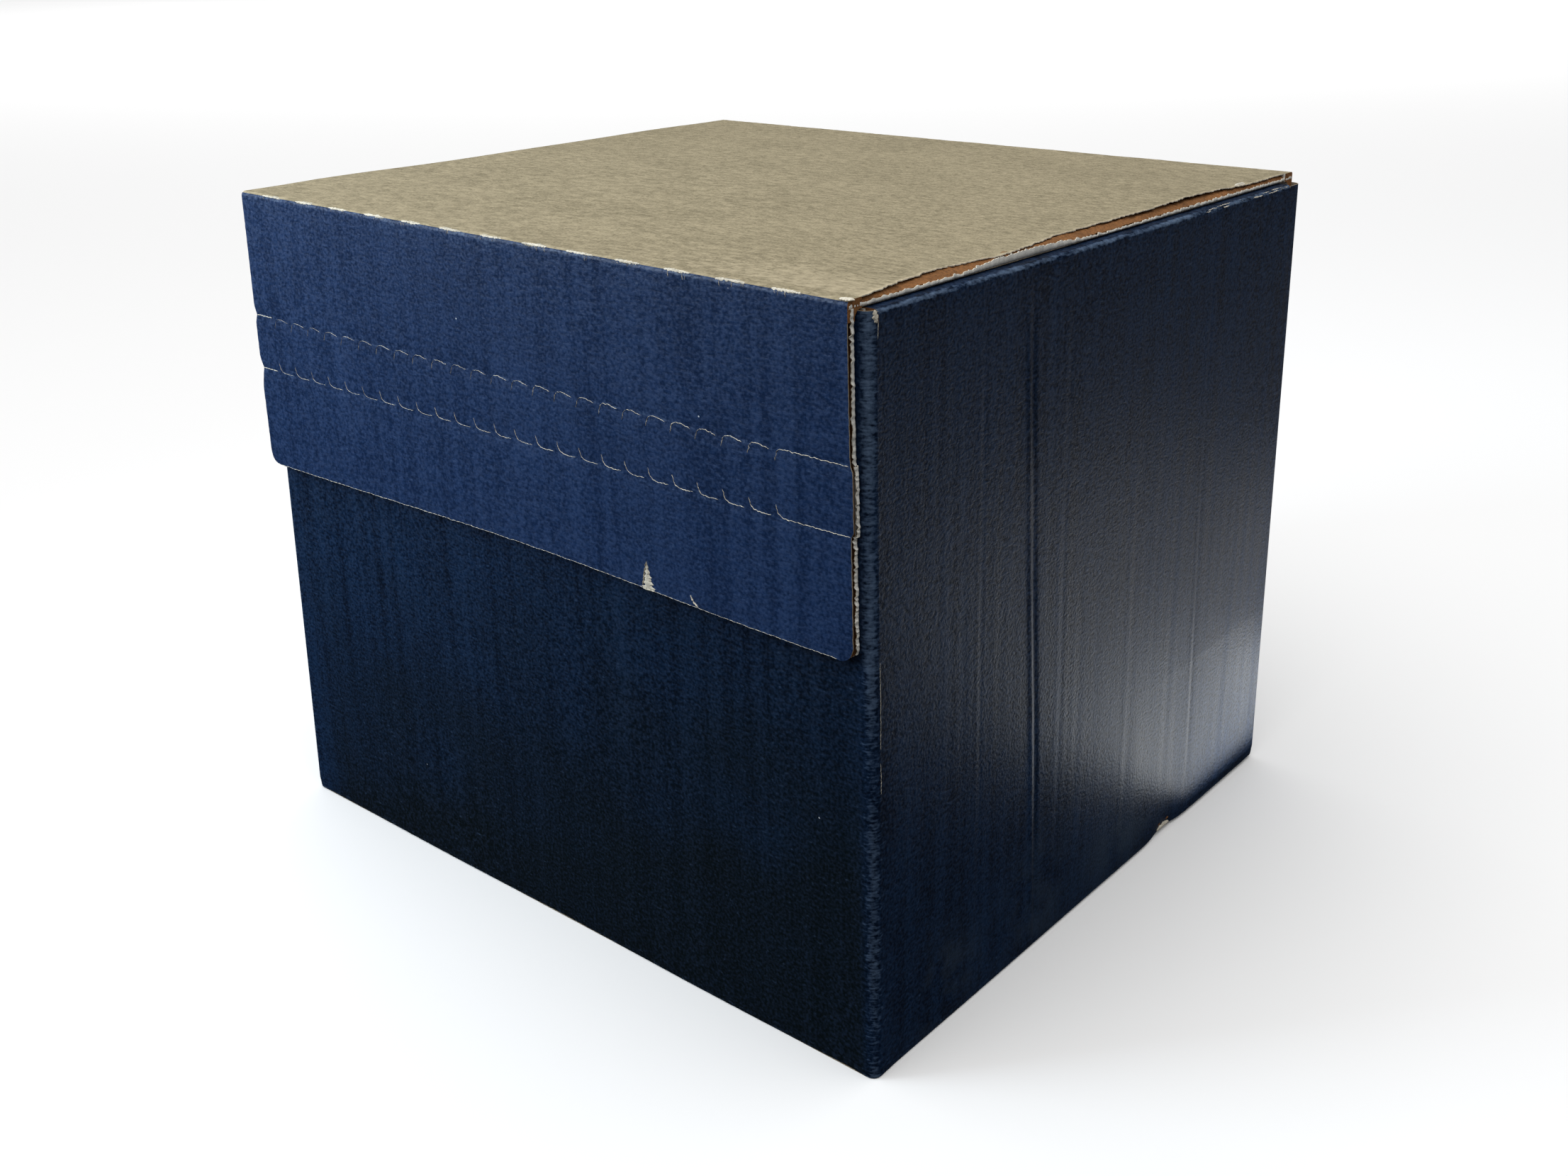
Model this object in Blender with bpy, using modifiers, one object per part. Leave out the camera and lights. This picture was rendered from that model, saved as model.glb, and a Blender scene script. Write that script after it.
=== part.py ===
"""Corrugated shipping box: hinged lid, glued front flap with a tear-off strip, dust flaps, glued base.

Every panel is three-layer board: an outer liner, a fluted medium and an inner liner, each its own solid.
The box stands on z = 0 and faces -Y. Lengths are in millimetres and are turned into metres when meshes
are built.
"""

import math

import bmesh
import bpy
from mathutils import Matrix, Vector

COLLECTION = "tear_strip_shipping_box"
MM = 0.001

# Overall sizes
BODY_WIDTH = 282.0
BODY_DEPTH = 256.0
TOTAL_HEIGHT = 240.0
FLAP_STANDOFF = 4.0
LID_OVERHANG_LEFT = 1.6
LID_INSET_RIGHT = 3.8

# Board
BOARD = 3.0
LINER = 0.3
MEDIUM = 0.25
GAP = 0.3
FLUTE_PITCH = 6.54
CORNER_RADIUS = 3.5
CORNER_STEPS = 4
SMOOTH_ANGLE = math.radians(30.0)
INWARD = -1.0
CENTRED = 0.0

# Front flap bands, heights above the floor
UPPER_TEAR_LINE = 195.0
LOWER_TEAR_LINE = 175.0
FLAP_BOTTOM = 137.5
FLAP_CORNER_RADIUS = 5.0
NOTCH_DEPTH = 1.6
NOTCH_ABOVE = 4.0
NOTCH_BELOW = 7.5

# Perforation hooks along both tear lines
HOOK_COUNT = 25
HOOK_PITCH = 10.04
HOOK_START = 12.2
HOOK_LEG = 3.6
HOOK_BEND = 2.9
HOOK_BEND_MIDDLE = (0.45, 0.3)
HOOK_RETURN = 1.0

# Dust flaps
DUST_LENGTH = 75.0
DUST_FRONT_CLEARANCE = 0.8
DUST_FRONT_TAPER = 4.0
DUST_REAR_SETBACK = 9.0
DUST_REAR_TAPER = 39.5

# Glued side seam
TAB_WIDTH = 34.0
TAB_END_SETBACK = 8.0
TAB_END_TAPER = 9.0
GLUE_ROOM = 0.9
SEAM_GLUE_WIDTH = 18.0
SEAM_GLUE_MARGIN = 24.0

# Base flaps
SEAM_STEP = 14.0
SEAM_STEP_RUN = 18.0
BASE_SIDE_LENGTH = 92.0
BASE_SIDE_TAPER = 34.0
BASE_SIDE_MARGIN = 2.0
BASE_PATCH = (34.0, 22.0)
BASE_PATCH_INSET = (26.0, 62.0)

# Closure adhesive behind the lowest band of the front flap
ADHESIVE_LENGTH = 236.0
ADHESIVE_HEIGHT = 15.0
ADHESIVE_THICKNESS = 0.4
ADHESIVE_BOTTOM = 146.0

# Derived positions
LID_WIDTH = BODY_WIDTH + LID_OVERHANG_LEFT - LID_INSET_RIGHT
LID_DEPTH = BODY_DEPTH + FLAP_STANDOFF
RIGHT = (BODY_WIDTH + LID_OVERHANG_LEFT) / 2
LEFT = RIGHT - BODY_WIDTH
LID_LEFT = LEFT - LID_OVERHANG_LEFT
BACK = LID_DEPTH / 2
FLAP_FRONT = -BACK
FRONT = FLAP_FRONT + FLAP_STANDOFF
WALL_TOP = TOTAL_HEIGHT - BOARD - GAP
COVER = LINER + GAP
TUCK = BOARD + GAP
TAB_OUTER = BACK - BOARD - GLUE_ROOM
BASE_SIDE_BOTTOM = BOARD + GLUE_ROOM

FINISHES = {
    "navy_printed_liner": ((0.012, 0.026, 0.066), 0.55),
    "kraft_liner": ((0.36, 0.30, 0.21), 0.80),
    "white_inner_liner": ((0.62, 0.61, 0.57), 0.75),
    "brown_fluted_medium": ((0.30, 0.14, 0.055), 0.85),
    "clear_hot_melt": ((0.55, 0.52, 0.42), 0.35),
    "white_glue": ((0.70, 0.70, 0.66), 0.45),
}


def clear_scene():
    for obj in list(bpy.data.objects):
        bpy.data.objects.remove(obj, do_unlink=True)


def make_material(name, kind):
    """Principled material of one sheet or glue line."""
    colour, roughness = FINISHES[kind]
    material = bpy.data.materials.new(name)
    material.use_nodes = True
    shader = material.node_tree.nodes["Principled BSDF"]
    shader.inputs["Base Color"].default_value = (*colour, 1.0)
    shader.inputs["Roughness"].default_value = roughness
    shader.inputs["Metallic"].default_value = 0.0
    material.diffuse_color = (*colour, 1.0)
    return material


def make_collection():
    collection = bpy.data.collections.new(COLLECTION)
    bpy.context.scene.collection.children.link(collection)
    return collection


def make_body(name, pivot, parent=None):
    """An empty on the joint axis that carries the pieces of one rigid body."""
    empty = bpy.data.objects.new(name, None)
    empty.empty_display_size = 0.02
    pivots[name] = Vector(pivot) * MM
    empty.location = pivots[name]
    if parent is not None:
        empty.parent = parent
        empty.location = pivots[name] - pivots[parent.name]
    collection.objects.link(empty)
    return empty


def axes(u, v):
    """Rotation whose columns are the across-flute, along-flute and outward directions of a panel."""
    across = Vector(u)
    along = Vector(v)
    return Matrix((across, along, across.cross(along))).transposed().to_4x4()


WALL_FRONT = axes((1, 0, 0), (0, 0, 1))
WALL_BACK = axes((-1, 0, 0), (0, 0, 1))
WALL_RIGHT = axes((0, 1, 0), (0, 0, 1))
WALL_LEFT = axes((0, -1, 0), (0, 0, 1))
TOP_FACE = axes((1, 0, 0), (0, 1, 0))
BASE_FRONT = axes((-1, 0, 0), (0, 1, 0))
BASE_BACK = axes((1, 0, 0), (0, -1, 0))
BASE_RIGHT = axes((0, -1, 0), (-1, 0, 0))
BASE_LEFT = axes((0, 1, 0), (1, 0, 0))
DUST_RIGHT = axes((0, 1, 0), (-1, 0, 0))
DUST_LEFT = axes((0, -1, 0), (1, 0, 0))


def place_object(name, builder, kind, body, origin, rotation):
    """Turn a finished mesh builder into a named object that rides on its body's empty."""
    mesh = bpy.data.meshes.new(name)
    builder.to_mesh(mesh)
    builder.free()
    mesh.shade_smooth()
    mesh.set_sharp_from_angle(angle=SMOOTH_ANGLE)
    mesh.materials.append(make_material(name, kind))
    obj = bpy.data.objects.new(name, mesh)
    collection.objects.link(obj)
    obj.parent = body
    obj.location = Vector(origin) * MM - pivots[body.name]
    obj.rotation_euler = rotation.to_euler()
    return obj


def add_paper(name, profile, edges, thickness, side, kind, body, origin, rotation):
    """Sheet of paper: a profile across the flutes, drawn out along them from edge to edge, then thickened."""
    low_edge, high_edge = edges
    builder = bmesh.new()
    row = [builder.verts.new(Vector((u, value_at(low_edge, u), n)) * MM) for u, n in profile]
    fold_line = [builder.edges.new(pair) for pair in zip(row, row[1:])]
    drawn = bmesh.ops.extrude_edge_only(builder, edges=fold_line)["geom"]
    for element in drawn:
        if isinstance(element, bmesh.types.BMVert):
            element.co.y = value_at(high_edge, element.co.x / MM) * MM
    builder.normal_update()
    if sum(face.normal.z for face in builder.faces) < 0:
        bmesh.ops.reverse_faces(builder, faces=builder.faces)
    sheet = place_object(name, builder, kind, body, origin, rotation)
    solidify = sheet.modifiers.new("paper_thickness", "SOLIDIFY")
    solidify.thickness = thickness * MM
    solidify.offset = side
    return sheet


def add_flat_liner(name, edges, depth, kind, body, origin, rotation):
    """Flat liner whose outer face lies at a depth in the board."""
    low_edge, high_edge = edges
    stations = sorted({round(u, 6) for u, v in low_edge + high_edge})
    profile = [(u, -depth) for u in stations]
    return add_paper(name, profile, edges, LINER, INWARD, kind, body, origin, rotation)


def add_glue(name, size, corner, kind, body):
    """Flat bead or film of adhesive: a box given by its lowest corner and its size."""
    builder = bmesh.new()
    bmesh.ops.create_cube(builder, size=MM)
    bmesh.ops.scale(builder, vec=Vector(size), verts=builder.verts)
    centre = Vector(corner) + Vector(size) / 2
    return place_object(name, builder, kind, body, centre, Matrix.Identity(4))


def value_at(edge, u):
    """Height of a polyline edge at one position across the flutes."""
    if u <= edge[0][0]:
        return edge[0][1]
    for (u0, v0), (u1, v1) in zip(edge, edge[1:]):
        if u <= u1:
            return v0 + (v1 - v0) * (u - u0) / (u1 - u0)
    return edge[-1][1]


def shifted(edge, dv):
    return [(u, v + dv) for u, v in edge]


def flute_profile(u0, u1):
    """Zigzag across the board, its crests one gap short of both liners."""
    reach = BOARD / 2 - COVER - MEDIUM / 2
    half = FLUTE_PITCH / 2
    count = int((u1 - u0) / half)
    return [(u0 + i * half, -BOARD / 2 + (reach if i % 2 else -reach)) for i in range(count + 1)]


def add_board(name, body, origin, rotation, outer, inner, outer_kind="navy_printed_liner"):
    """Three layers of one panel; outer and inner are (low edge, high edge) pairs of polylines."""
    if outer is not None:
        add_flat_liner(f"{name}_outer_liner", outer, 0.0, outer_kind, body, origin, rotation)
    low, high = inner
    start = low[0][0] + GAP
    end = low[-1][0] - GAP
    trimmed = (shifted(low, GAP), shifted(high, -GAP))
    add_paper(f"{name}_fluted_medium", flute_profile(start, end), trimmed, MEDIUM, CENTRED,
              "brown_fluted_medium", body, origin, rotation)
    add_flat_liner(f"{name}_inner_liner", inner, BOARD - LINER, "white_inner_liner", body, origin, rotation)


def corner_arc(centre, start_angle):
    """Points of a vertical corner fold, a quarter circle ending towards +u."""
    points = []
    for i in range(CORNER_STEPS + 1):
        angle = start_angle - i * math.pi / 2 / CORNER_STEPS
        points.append((centre + CORNER_RADIUS * math.cos(angle), CORNER_RADIUS * (math.sin(angle) - 1)))
    return points


def add_wrapped_liner(name, edges, wrap_end, body, origin, rotation):
    """Printed liner of a wall, carried round the corner fold at its start and, if asked, at its end."""
    u0 = edges[0][0][0]
    u1 = edges[0][-1][0]
    profile = corner_arc(u0 + CORNER_RADIUS, math.pi)
    profile += corner_arc(u1 - CORNER_RADIUS, math.pi / 2) if wrap_end else [(u1, 0.0)]
    add_paper(name, profile, edges, LINER, INWARD, "navy_printed_liner", body, origin, rotation)


def band(u0, u1, low, high):
    return [(u0, low), (u1, low)], [(u0, high), (u1, high)]


def tear_line(height, leg):
    """Outline of a perforation row: straight starts and hooks with one leg each."""
    points = [(0.0, height)]
    across, along = HOOK_BEND_MIDDLE
    for i in range(HOOK_COUNT):
        u = HOOK_START + i * HOOK_PITCH
        points += [(u - HOOK_RETURN, height), (u, height + leg),
                   (u + HOOK_BEND * across, height + leg * along), (u + HOOK_BEND, height)]
    points.append((LID_WIDTH, height))
    return points


def build_walls(body):
    """Front, right, back and left walls, with the seam tab behind the back wall."""
    top = WALL_TOP
    front = (LEFT, FRONT, 0.0)
    add_wrapped_liner("front_wall_outer_liner", band(0.0, BODY_WIDTH, 0.0, top), True, body, front,
                      WALL_FRONT)
    add_board("front_wall", body, front, WALL_FRONT, None, band(TUCK, BODY_WIDTH - TUCK, TUCK, top))

    back = (RIGHT, BACK, 0.0)
    add_wrapped_liner("back_wall_outer_liner", band(0.0, BODY_WIDTH, 0.0, TOTAL_HEIGHT - COVER), False, body,
                      back, WALL_BACK)
    add_board("back_wall", body, back, WALL_BACK, None, band(TUCK, BODY_WIDTH, TUCK, TOTAL_HEIGHT - TUCK))

    fold = CORNER_RADIUS + GAP
    add_board("right_wall", body, (RIGHT, FRONT, 0.0), WALL_RIGHT,
              band(fold, BODY_DEPTH - fold, 0.0, top - COVER),
              band(TUCK, BODY_DEPTH - TUCK, 0.0, top - TUCK))

    left = (LEFT, TAB_OUTER, 0.0)
    run = TAB_OUTER - FRONT
    add_wrapped_liner("left_wall_outer_liner", band(0.0, run - fold, 0.0, top - COVER), False, body, left,
                      WALL_LEFT)
    add_board("left_wall", body, left, WALL_LEFT, None, band(TUCK, run - TUCK, 0.0, top - TUCK))

    low = TAB_END_SETBACK
    high = top - TUCK - TAB_END_SETBACK
    tab = ([(0.0, low + TAB_END_TAPER), (TAB_WIDTH, low)], [(0.0, high - TAB_END_TAPER), (TAB_WIDTH, high)])
    add_board("seam_tab", body, (LEFT + fold + TAB_WIDTH, TAB_OUTER, 0.0), WALL_BACK, tab, tab)
    glue_size = (SEAM_GLUE_WIDTH, GLUE_ROOM - 2 * GAP, top - 2 * SEAM_GLUE_MARGIN)
    glue_left = LEFT + fold + (TAB_WIDTH - SEAM_GLUE_WIDTH) / 2
    add_glue("seam_glue_line", glue_size, (glue_left, TAB_OUTER + GAP, SEAM_GLUE_MARGIN), "white_glue", body)


def build_base(body):
    """Two main base flaps that meet in a stepped seam, two side flaps glued on top of them."""
    fold = CORNER_RADIUS + GAP
    inside = BODY_WIDTH - 2 * fold
    middle = inside / 2
    far = BODY_DEPTH / 2 + SEAM_STEP - GAP / 2
    near = BODY_DEPTH / 2 - SEAM_STEP - GAP / 2
    start = [(0.0, COVER), (inside, COVER)]
    seam = [(0.0, far), (middle - SEAM_STEP_RUN / 2, far), (middle + SEAM_STEP_RUN / 2, near), (inside, near)]
    for name, origin, rotation in (("base_front", (RIGHT - fold, FRONT, 0.0), BASE_FRONT),
                                   ("base_back", (LEFT + fold, BACK, 0.0), BASE_BACK)):
        add_board(name, body, origin, rotation, (start, seam), (start, seam))

    first = FRONT + TUCK + BASE_SIDE_MARGIN
    last = TAB_OUTER - TUCK - BASE_SIDE_MARGIN
    span = last - first
    shoulder = BASE_SIDE_LENGTH - BASE_SIDE_TAPER
    edges = ([(0.0, 0.0), (span, 0.0)],
             [(0.0, shoulder), (BASE_SIDE_TAPER, BASE_SIDE_LENGTH),
              (span - BASE_SIDE_TAPER, BASE_SIDE_LENGTH), (span, shoulder)])
    add_board("base_right", body, (RIGHT - TUCK, last, BASE_SIDE_BOTTOM), BASE_RIGHT, edges, edges)
    add_board("base_left", body, (LEFT + TUCK, first, BASE_SIDE_BOTTOM), BASE_LEFT, edges, edges)

    long, wide = BASE_PATCH
    inset_x, inset_y = BASE_PATCH_INSET
    middle_y = (FRONT + BACK) / 2
    for side_x, x in (("left", LEFT + inset_x), ("right", RIGHT - inset_x - long)):
        for side_y, y in (("front", middle_y - inset_y - wide), ("back", middle_y + inset_y)):
            add_glue(f"base_glue_patch_{side_y}_{side_x}", (long, wide, GLUE_ROOM - 2 * GAP),
                     (x, y, BOARD + GAP), "white_glue", body)


def build_lid(body):
    low = [(0.0, COVER), (LID_WIDTH, COVER)]
    high = [(0.0, LID_DEPTH - COVER), (LID_WIDTH, LID_DEPTH - COVER)]
    add_board("lid", body, (LID_LEFT, FLAP_FRONT, TOTAL_HEIGHT), TOP_FACE,
              band(0.0, LID_WIDTH, 0.0, LID_DEPTH), (low, high), "kraft_liner")


def build_front_flap(upper_body, strip_body, box_body):
    """Hinged upper band, tear-off strip and the glued closure band, cut apart along the tear lines."""
    origin = (LID_LEFT, FLAP_FRONT, 0.0)
    upper_cut = tear_line(UPPER_TEAR_LINE, -HOOK_LEG)
    lower_cut = tear_line(LOWER_TEAR_LINE, HOOK_LEG)
    half = GAP / 2

    crease = [(0.0, TOTAL_HEIGHT - COVER), (LID_WIDTH, TOTAL_HEIGHT - COVER)]
    tucked = [(0.0, TOTAL_HEIGHT - TUCK), (LID_WIDTH, TOTAL_HEIGHT - TUCK)]
    upper_low = shifted(upper_cut, half)
    add_board("flap_upper_band", upper_body, origin, WALL_FRONT, (upper_low, crease), (upper_low, tucked))

    strip_low = shifted(lower_cut, half)
    strip_low[0] = (0.0, LOWER_TEAR_LINE + NOTCH_ABOVE)
    strip_low.insert(1, (NOTCH_DEPTH, LOWER_TEAR_LINE + half))
    strip = (strip_low, shifted(upper_cut, -half))
    add_board("tear_strip", strip_body, origin, WALL_FRONT, strip, strip)

    radius = FLAP_CORNER_RADIUS
    bottom = []
    for centre, start in ((radius, math.pi), (LID_WIDTH - radius, 1.5 * math.pi)):
        for i in range(CORNER_STEPS + 1):
            angle = start + i * math.pi / 2 / CORNER_STEPS
            bottom.append((centre + radius * math.cos(angle), FLAP_BOTTOM + radius * (1 + math.sin(angle))))
    closure_high = shifted(lower_cut, -half)
    closure_high[0] = (0.0, LOWER_TEAR_LINE - NOTCH_BELOW)
    closure_high.insert(1, (NOTCH_DEPTH, LOWER_TEAR_LINE - half))
    closure = (bottom, closure_high)
    add_board("flap_closure_band", box_body, origin, WALL_FRONT, closure, closure)

    glue_left = LID_LEFT + (LID_WIDTH - ADHESIVE_LENGTH) / 2
    add_glue("closure_adhesive_strip", (ADHESIVE_LENGTH, ADHESIVE_THICKNESS, ADHESIVE_HEIGHT),
             (glue_left, FRONT - GAP - ADHESIVE_THICKNESS, ADHESIVE_BOTTOM), "clear_hot_melt", box_body)


def dust_flap_edges(span, first_taper, last_taper, setback):
    """Outline of a dust flap from its crease outward; both ends narrow towards the free edge."""
    low = [(0.0, setback), (span, setback)]
    high = [(0.0, setback + BOARD), (first_taper, DUST_LENGTH), (span - last_taper, DUST_LENGTH),
            (span, setback + BOARD)]
    return low, high


def build_dust_flaps(right_body, left_body):
    """Side flaps under the lid; their rear ends narrow steeply so that the lid can lift clear of them."""
    first = FRONT + BOARD + DUST_FRONT_CLEARANCE
    last = BACK - DUST_REAR_SETBACK
    for name, body, corner, rotation, tapers in (
            ("right_dust_flap", right_body, (RIGHT, first), DUST_RIGHT, (DUST_FRONT_TAPER, DUST_REAR_TAPER)),
            ("left_dust_flap", left_body, (LEFT, last), DUST_LEFT, (DUST_REAR_TAPER, DUST_FRONT_TAPER))):
        outer = dust_flap_edges(last - first, *tapers, 0.0)
        inner = dust_flap_edges(last - first, *tapers, COVER)
        add_board(name, body, (*corner, WALL_TOP), rotation, outer, inner)


clear_scene()
collection = make_collection()
pivots = {}

box = make_body("box_body", (0.0, 0.0, 0.0))
lid = make_body("lid_hinge", (0.0, BACK, TOTAL_HEIGHT), box)
upper_band = make_body("upper_band_hinge", (0.0, FLAP_FRONT, TOTAL_HEIGHT), lid)
strip_slide = make_body("tear_strip_slide", (0.0, FLAP_FRONT, (UPPER_TEAR_LINE + LOWER_TEAR_LINE) / 2), box)
dust_right = make_body("right_dust_flap_hinge", (RIGHT, 0.0, WALL_TOP), box)
dust_left = make_body("left_dust_flap_hinge", (LEFT, 0.0, WALL_TOP), box)

build_walls(box)
build_base(box)
build_lid(lid)
build_front_flap(upper_band, strip_slide, box)
build_dust_flaps(dust_right, dust_left)
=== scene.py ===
import math

import bpy
import numpy as np
from mathutils import Matrix, Vector


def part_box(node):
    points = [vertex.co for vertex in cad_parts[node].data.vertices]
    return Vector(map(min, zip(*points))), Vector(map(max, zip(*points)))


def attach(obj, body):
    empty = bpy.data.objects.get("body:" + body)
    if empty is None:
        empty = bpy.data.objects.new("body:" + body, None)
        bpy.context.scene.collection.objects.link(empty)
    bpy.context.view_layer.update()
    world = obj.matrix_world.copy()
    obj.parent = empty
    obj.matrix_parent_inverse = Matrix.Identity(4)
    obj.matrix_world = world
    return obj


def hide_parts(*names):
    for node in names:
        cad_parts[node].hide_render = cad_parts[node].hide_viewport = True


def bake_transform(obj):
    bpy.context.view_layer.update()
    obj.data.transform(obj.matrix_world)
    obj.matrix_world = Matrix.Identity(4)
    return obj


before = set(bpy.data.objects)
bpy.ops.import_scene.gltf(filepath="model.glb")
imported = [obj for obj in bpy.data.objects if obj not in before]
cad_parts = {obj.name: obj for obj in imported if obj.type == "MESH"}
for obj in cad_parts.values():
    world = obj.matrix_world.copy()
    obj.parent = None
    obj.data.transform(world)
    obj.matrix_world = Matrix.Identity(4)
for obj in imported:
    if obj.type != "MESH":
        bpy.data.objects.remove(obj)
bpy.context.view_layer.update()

# Lengths are in millimetres until a mesh is made
MM = 0.001

# Board
BOARD = 3.0
LINER = 0.3
MEDIUM = 0.25
FLUTE_PITCH = 6.54
CORNER_RADIUS = 3.5
CORNER_STEPS = 20
FOLD_REACH = 6.0
FOLD_RADIUS = 1.6
BEAD_SETBACK = 1.0
FOLD_SKIN = 0.25
FOLD_BEND = FOLD_REACH - BOARD
BOTTOM_ROLL = 1.2
GLUE_ROUNDING = 0.8

# How the flutes sit between the liners
FLUTE_GAP = 0.02
TRIM = 0.2
WALL_CRUSH = 0.6

# Mesh fineness
COLUMN = 0.9
FLUTE_COLUMN = FLUTE_PITCH / 10
ROW = 4.0
FINE_ROW = 1.5
FLAP_ROW = 8.0
PRINT_ROW = 12.0
LINING_ROW = 20.0
LONG_ROW = 60.0
WAVES = 7
SHARP_ANGLE = math.radians(40)

# Tear strip and crease
HOOK_COUNT = 25
HOOK_PITCH = 10.04
HOOK_START = 12.2
HOOK_LEG = 3.6
HOOK_BEND = 2.9
HOOK_RETURN = 1.0
HOOK_CUT = 8.1
SLOT_COUNT = 13
SLOT_START = 12.5
SLOT_PITCH = 20.05
SLOT_LENGTH = 11.0


def box_mm(node):
    """Lowest and highest corner of a CAD node."""
    low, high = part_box(node)
    return np.array(low) / MM, np.array(high) / MM


wall_low, wall_high = box_mm("front_wall_outer_liner")
LEFT, RIGHT, FRONT = wall_low[0], wall_high[0], wall_low[1]
lid_low, lid_high = box_mm("lid_outer_liner")
LID_LEFT, LID_RIGHT, TOP = lid_low[0], lid_high[0], lid_high[2]
LID_WIDTH = LID_RIGHT - LID_LEFT
BACK = box_mm("back_wall_outer_liner")[1][1]
FLAP_FRONT = box_mm("flap_upper_band_outer_liner")[0][1]
WALL_TOP = box_mm("right_dust_flap_outer_liner")[1][2]
FLAP_BOTTOM = box_mm("flap_closure_band_outer_liner")[0][2]
LOWER_TEAR, UPPER_TEAR = (round(corner[2]) for corner in box_mm("tear_strip_outer_liner"))
TAB_END, TAB_OUTER = box_mm("seam_tab_outer_liner")[1][:2]
WALL_DEPTH = BACK - FRONT
LID_DEPTH = BACK - FLAP_FRONT

# The carton stands a little out of square: how far each corner leans, in millimetres
LEANS = {
    (0, 0, 1): (0.7, 1.0, 1.0),
    (1, 0, 1): (-1.1, -0.6, -0.6),
    (1, 1, 1): (1.0, 0.2, -0.9),
    (0, 1, 1): (-0.5, -0.6, -0.6),
    (0, 0, 0): (-0.7, -0.7, 0.0),
    (1, 0, 0): (0.9, -0.2, -0.3),
    (1, 1, 0): (0.0, 0.8, 1.2),
    (0, 1, 0): (0.0, 0.0, 0.0),
}


def lean(points):
    """Points of the squared-up box moved to where the leaning carton has them."""
    low = np.array((LEFT, FLAP_FRONT, 0.0))
    share = (points - low) / (np.array((RIGHT, BACK, TOP)) - low)
    moved = points.copy()
    for corner, offset in LEANS.items():
        weight = np.ones(len(points))
        for axis in range(3):
            weight = weight * (share[:, axis] if corner[axis] else 1 - share[:, axis])
        moved += weight[:, None] * np.array(offset)
    return moved


def in_metres(point):
    return tuple(lean(np.array([point], float))[0] * MM)


def ripple(x, y, wavelength, seed):
    """Smooth random field of height about 1 with features of one wavelength."""
    draw = np.random.default_rng(seed)
    total = 0.0
    for _ in range(WAVES):
        angle = draw.uniform(0, math.tau)
        wave = math.tau / wavelength * draw.uniform(0.6, 1.6)
        phase = draw.uniform(0, math.tau)
        total = total + np.sin(wave * (x * math.cos(angle) + y * math.sin(angle)) + phase)
    return total / math.sqrt(WAVES)


def ripple_line(x, wavelength, seed):
    return ripple(x, 0 * x, wavelength, seed)


def bell(x, middle, width):
    return np.exp(-(((x - middle) / width) ** 2))


def clamp(x):
    return np.clip(x, 0, 1)


def distance_along(path):
    """How far along a path each of its points lies."""
    return np.concatenate(([0.0], np.cumsum(np.linalg.norm(np.diff(path, axis=0), axis=1))))


# ---------------------------------------------------------------- materials


class Nodes:
    """Adds nodes to one tree; a value is a number, a colour, a vector or another node's output."""

    def __init__(self, tree):
        self.tree = tree

    def put(self, value, socket):
        if isinstance(value, bpy.types.NodeSocket):
            self.tree.links.new(value, socket)
        else:
            socket.default_value = (*value, 1.0) if socket.type == "RGBA" else value

    def node(self, kind, **inputs):
        node = self.tree.nodes.new(f"ShaderNode{kind}")
        for name, value in inputs.items():
            self.put(value, node.inputs[name.replace("_", " ")])
        return node

    def remap(self, value, low, high, new_low=0.0, new_high=1.0):
        return self.node("MapRange", Value=value, From_Min=low, From_Max=high, To_Min=new_low,
                         To_Max=new_high).outputs["Result"]


class Shade(Nodes):
    """Nodes of one Principled material."""

    def __init__(self, name, roughness, specular):
        self.material = bpy.data.materials.new(name)
        self.material.use_nodes = True
        super().__init__(self.material.node_tree)
        self.shader = self.tree.nodes["Principled BSDF"]
        self.surface(Roughness=roughness, Specular_IOR_Level=specular)
        self.place = self.node("TexCoord").outputs["Object"]

    def surface(self, **inputs):
        for name, value in inputs.items():
            self.put(value, self.shader.inputs[name.replace("_", " ")])

    def noise(self, scale, detail=3.0, stretch=(1.0, 1.0, 1.0)):
        """Noise of one scale per metre, stretched along an axis by a factor below one."""
        place = self.node("Mapping", Vector=self.place, Scale=stretch).outputs["Vector"]
        return self.node("TexNoise", Vector=place, Scale=scale, Detail=detail).outputs["Fac"]

    def spots(self, scale, radius, share):
        """Sparse round specks: 1 inside a speck and 0 elsewhere."""
        cells = self.node("TexVoronoi", Vector=self.place, Scale=scale)
        near = self.math("LESS_THAN", cells.outputs["Distance"], radius)
        tone = self.node("SeparateColor", Color=cells.outputs["Color"]).outputs["Red"]
        return self.math("MULTIPLY", near, self.math("LESS_THAN", tone, share))

    def mark(self, name):
        """Mesh attribute painted by the script, such as wear along a fold."""
        node = self.node("Attribute")
        node.attribute_name = name
        return node.outputs["Fac"]

    def math(self, operation, first, second):
        node = self.node("Math")
        node.operation = operation
        for socket, value in zip(node.inputs, (first, second)):
            self.put(value, socket)
        return node.outputs["Value"]

    def total(self, *parts):
        """Weighted sum of (value, weight) pairs."""
        result = None
        for value, weight in parts:
            scaled = self.math("MULTIPLY", value, weight)
            result = scaled if result is None else self.math("ADD", result, scaled)
        return result

    def mix(self, share, first, second):
        node = self.node("Mix")
        node.data_type = "RGBA"
        for name, value in (("Factor", share), ("A", first), ("B", second)):
            self.put(value, node.inputs[name])
        return node.outputs["Result"]

    def finish(self, colour, height, strength, distance, roughness):
        bump = self.node("Bump", Strength=strength, Distance=distance, Height=height)
        self.surface(Base_Color=colour, Roughness=roughness, Normal=bump.outputs["Normal"])
        return self.material


def tint(base, *factors):
    """A colour scaled by one factor, or by one for each channel."""
    return tuple(c * f for c, f in zip(base, factors * 3 if len(factors) == 1 else factors))


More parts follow.
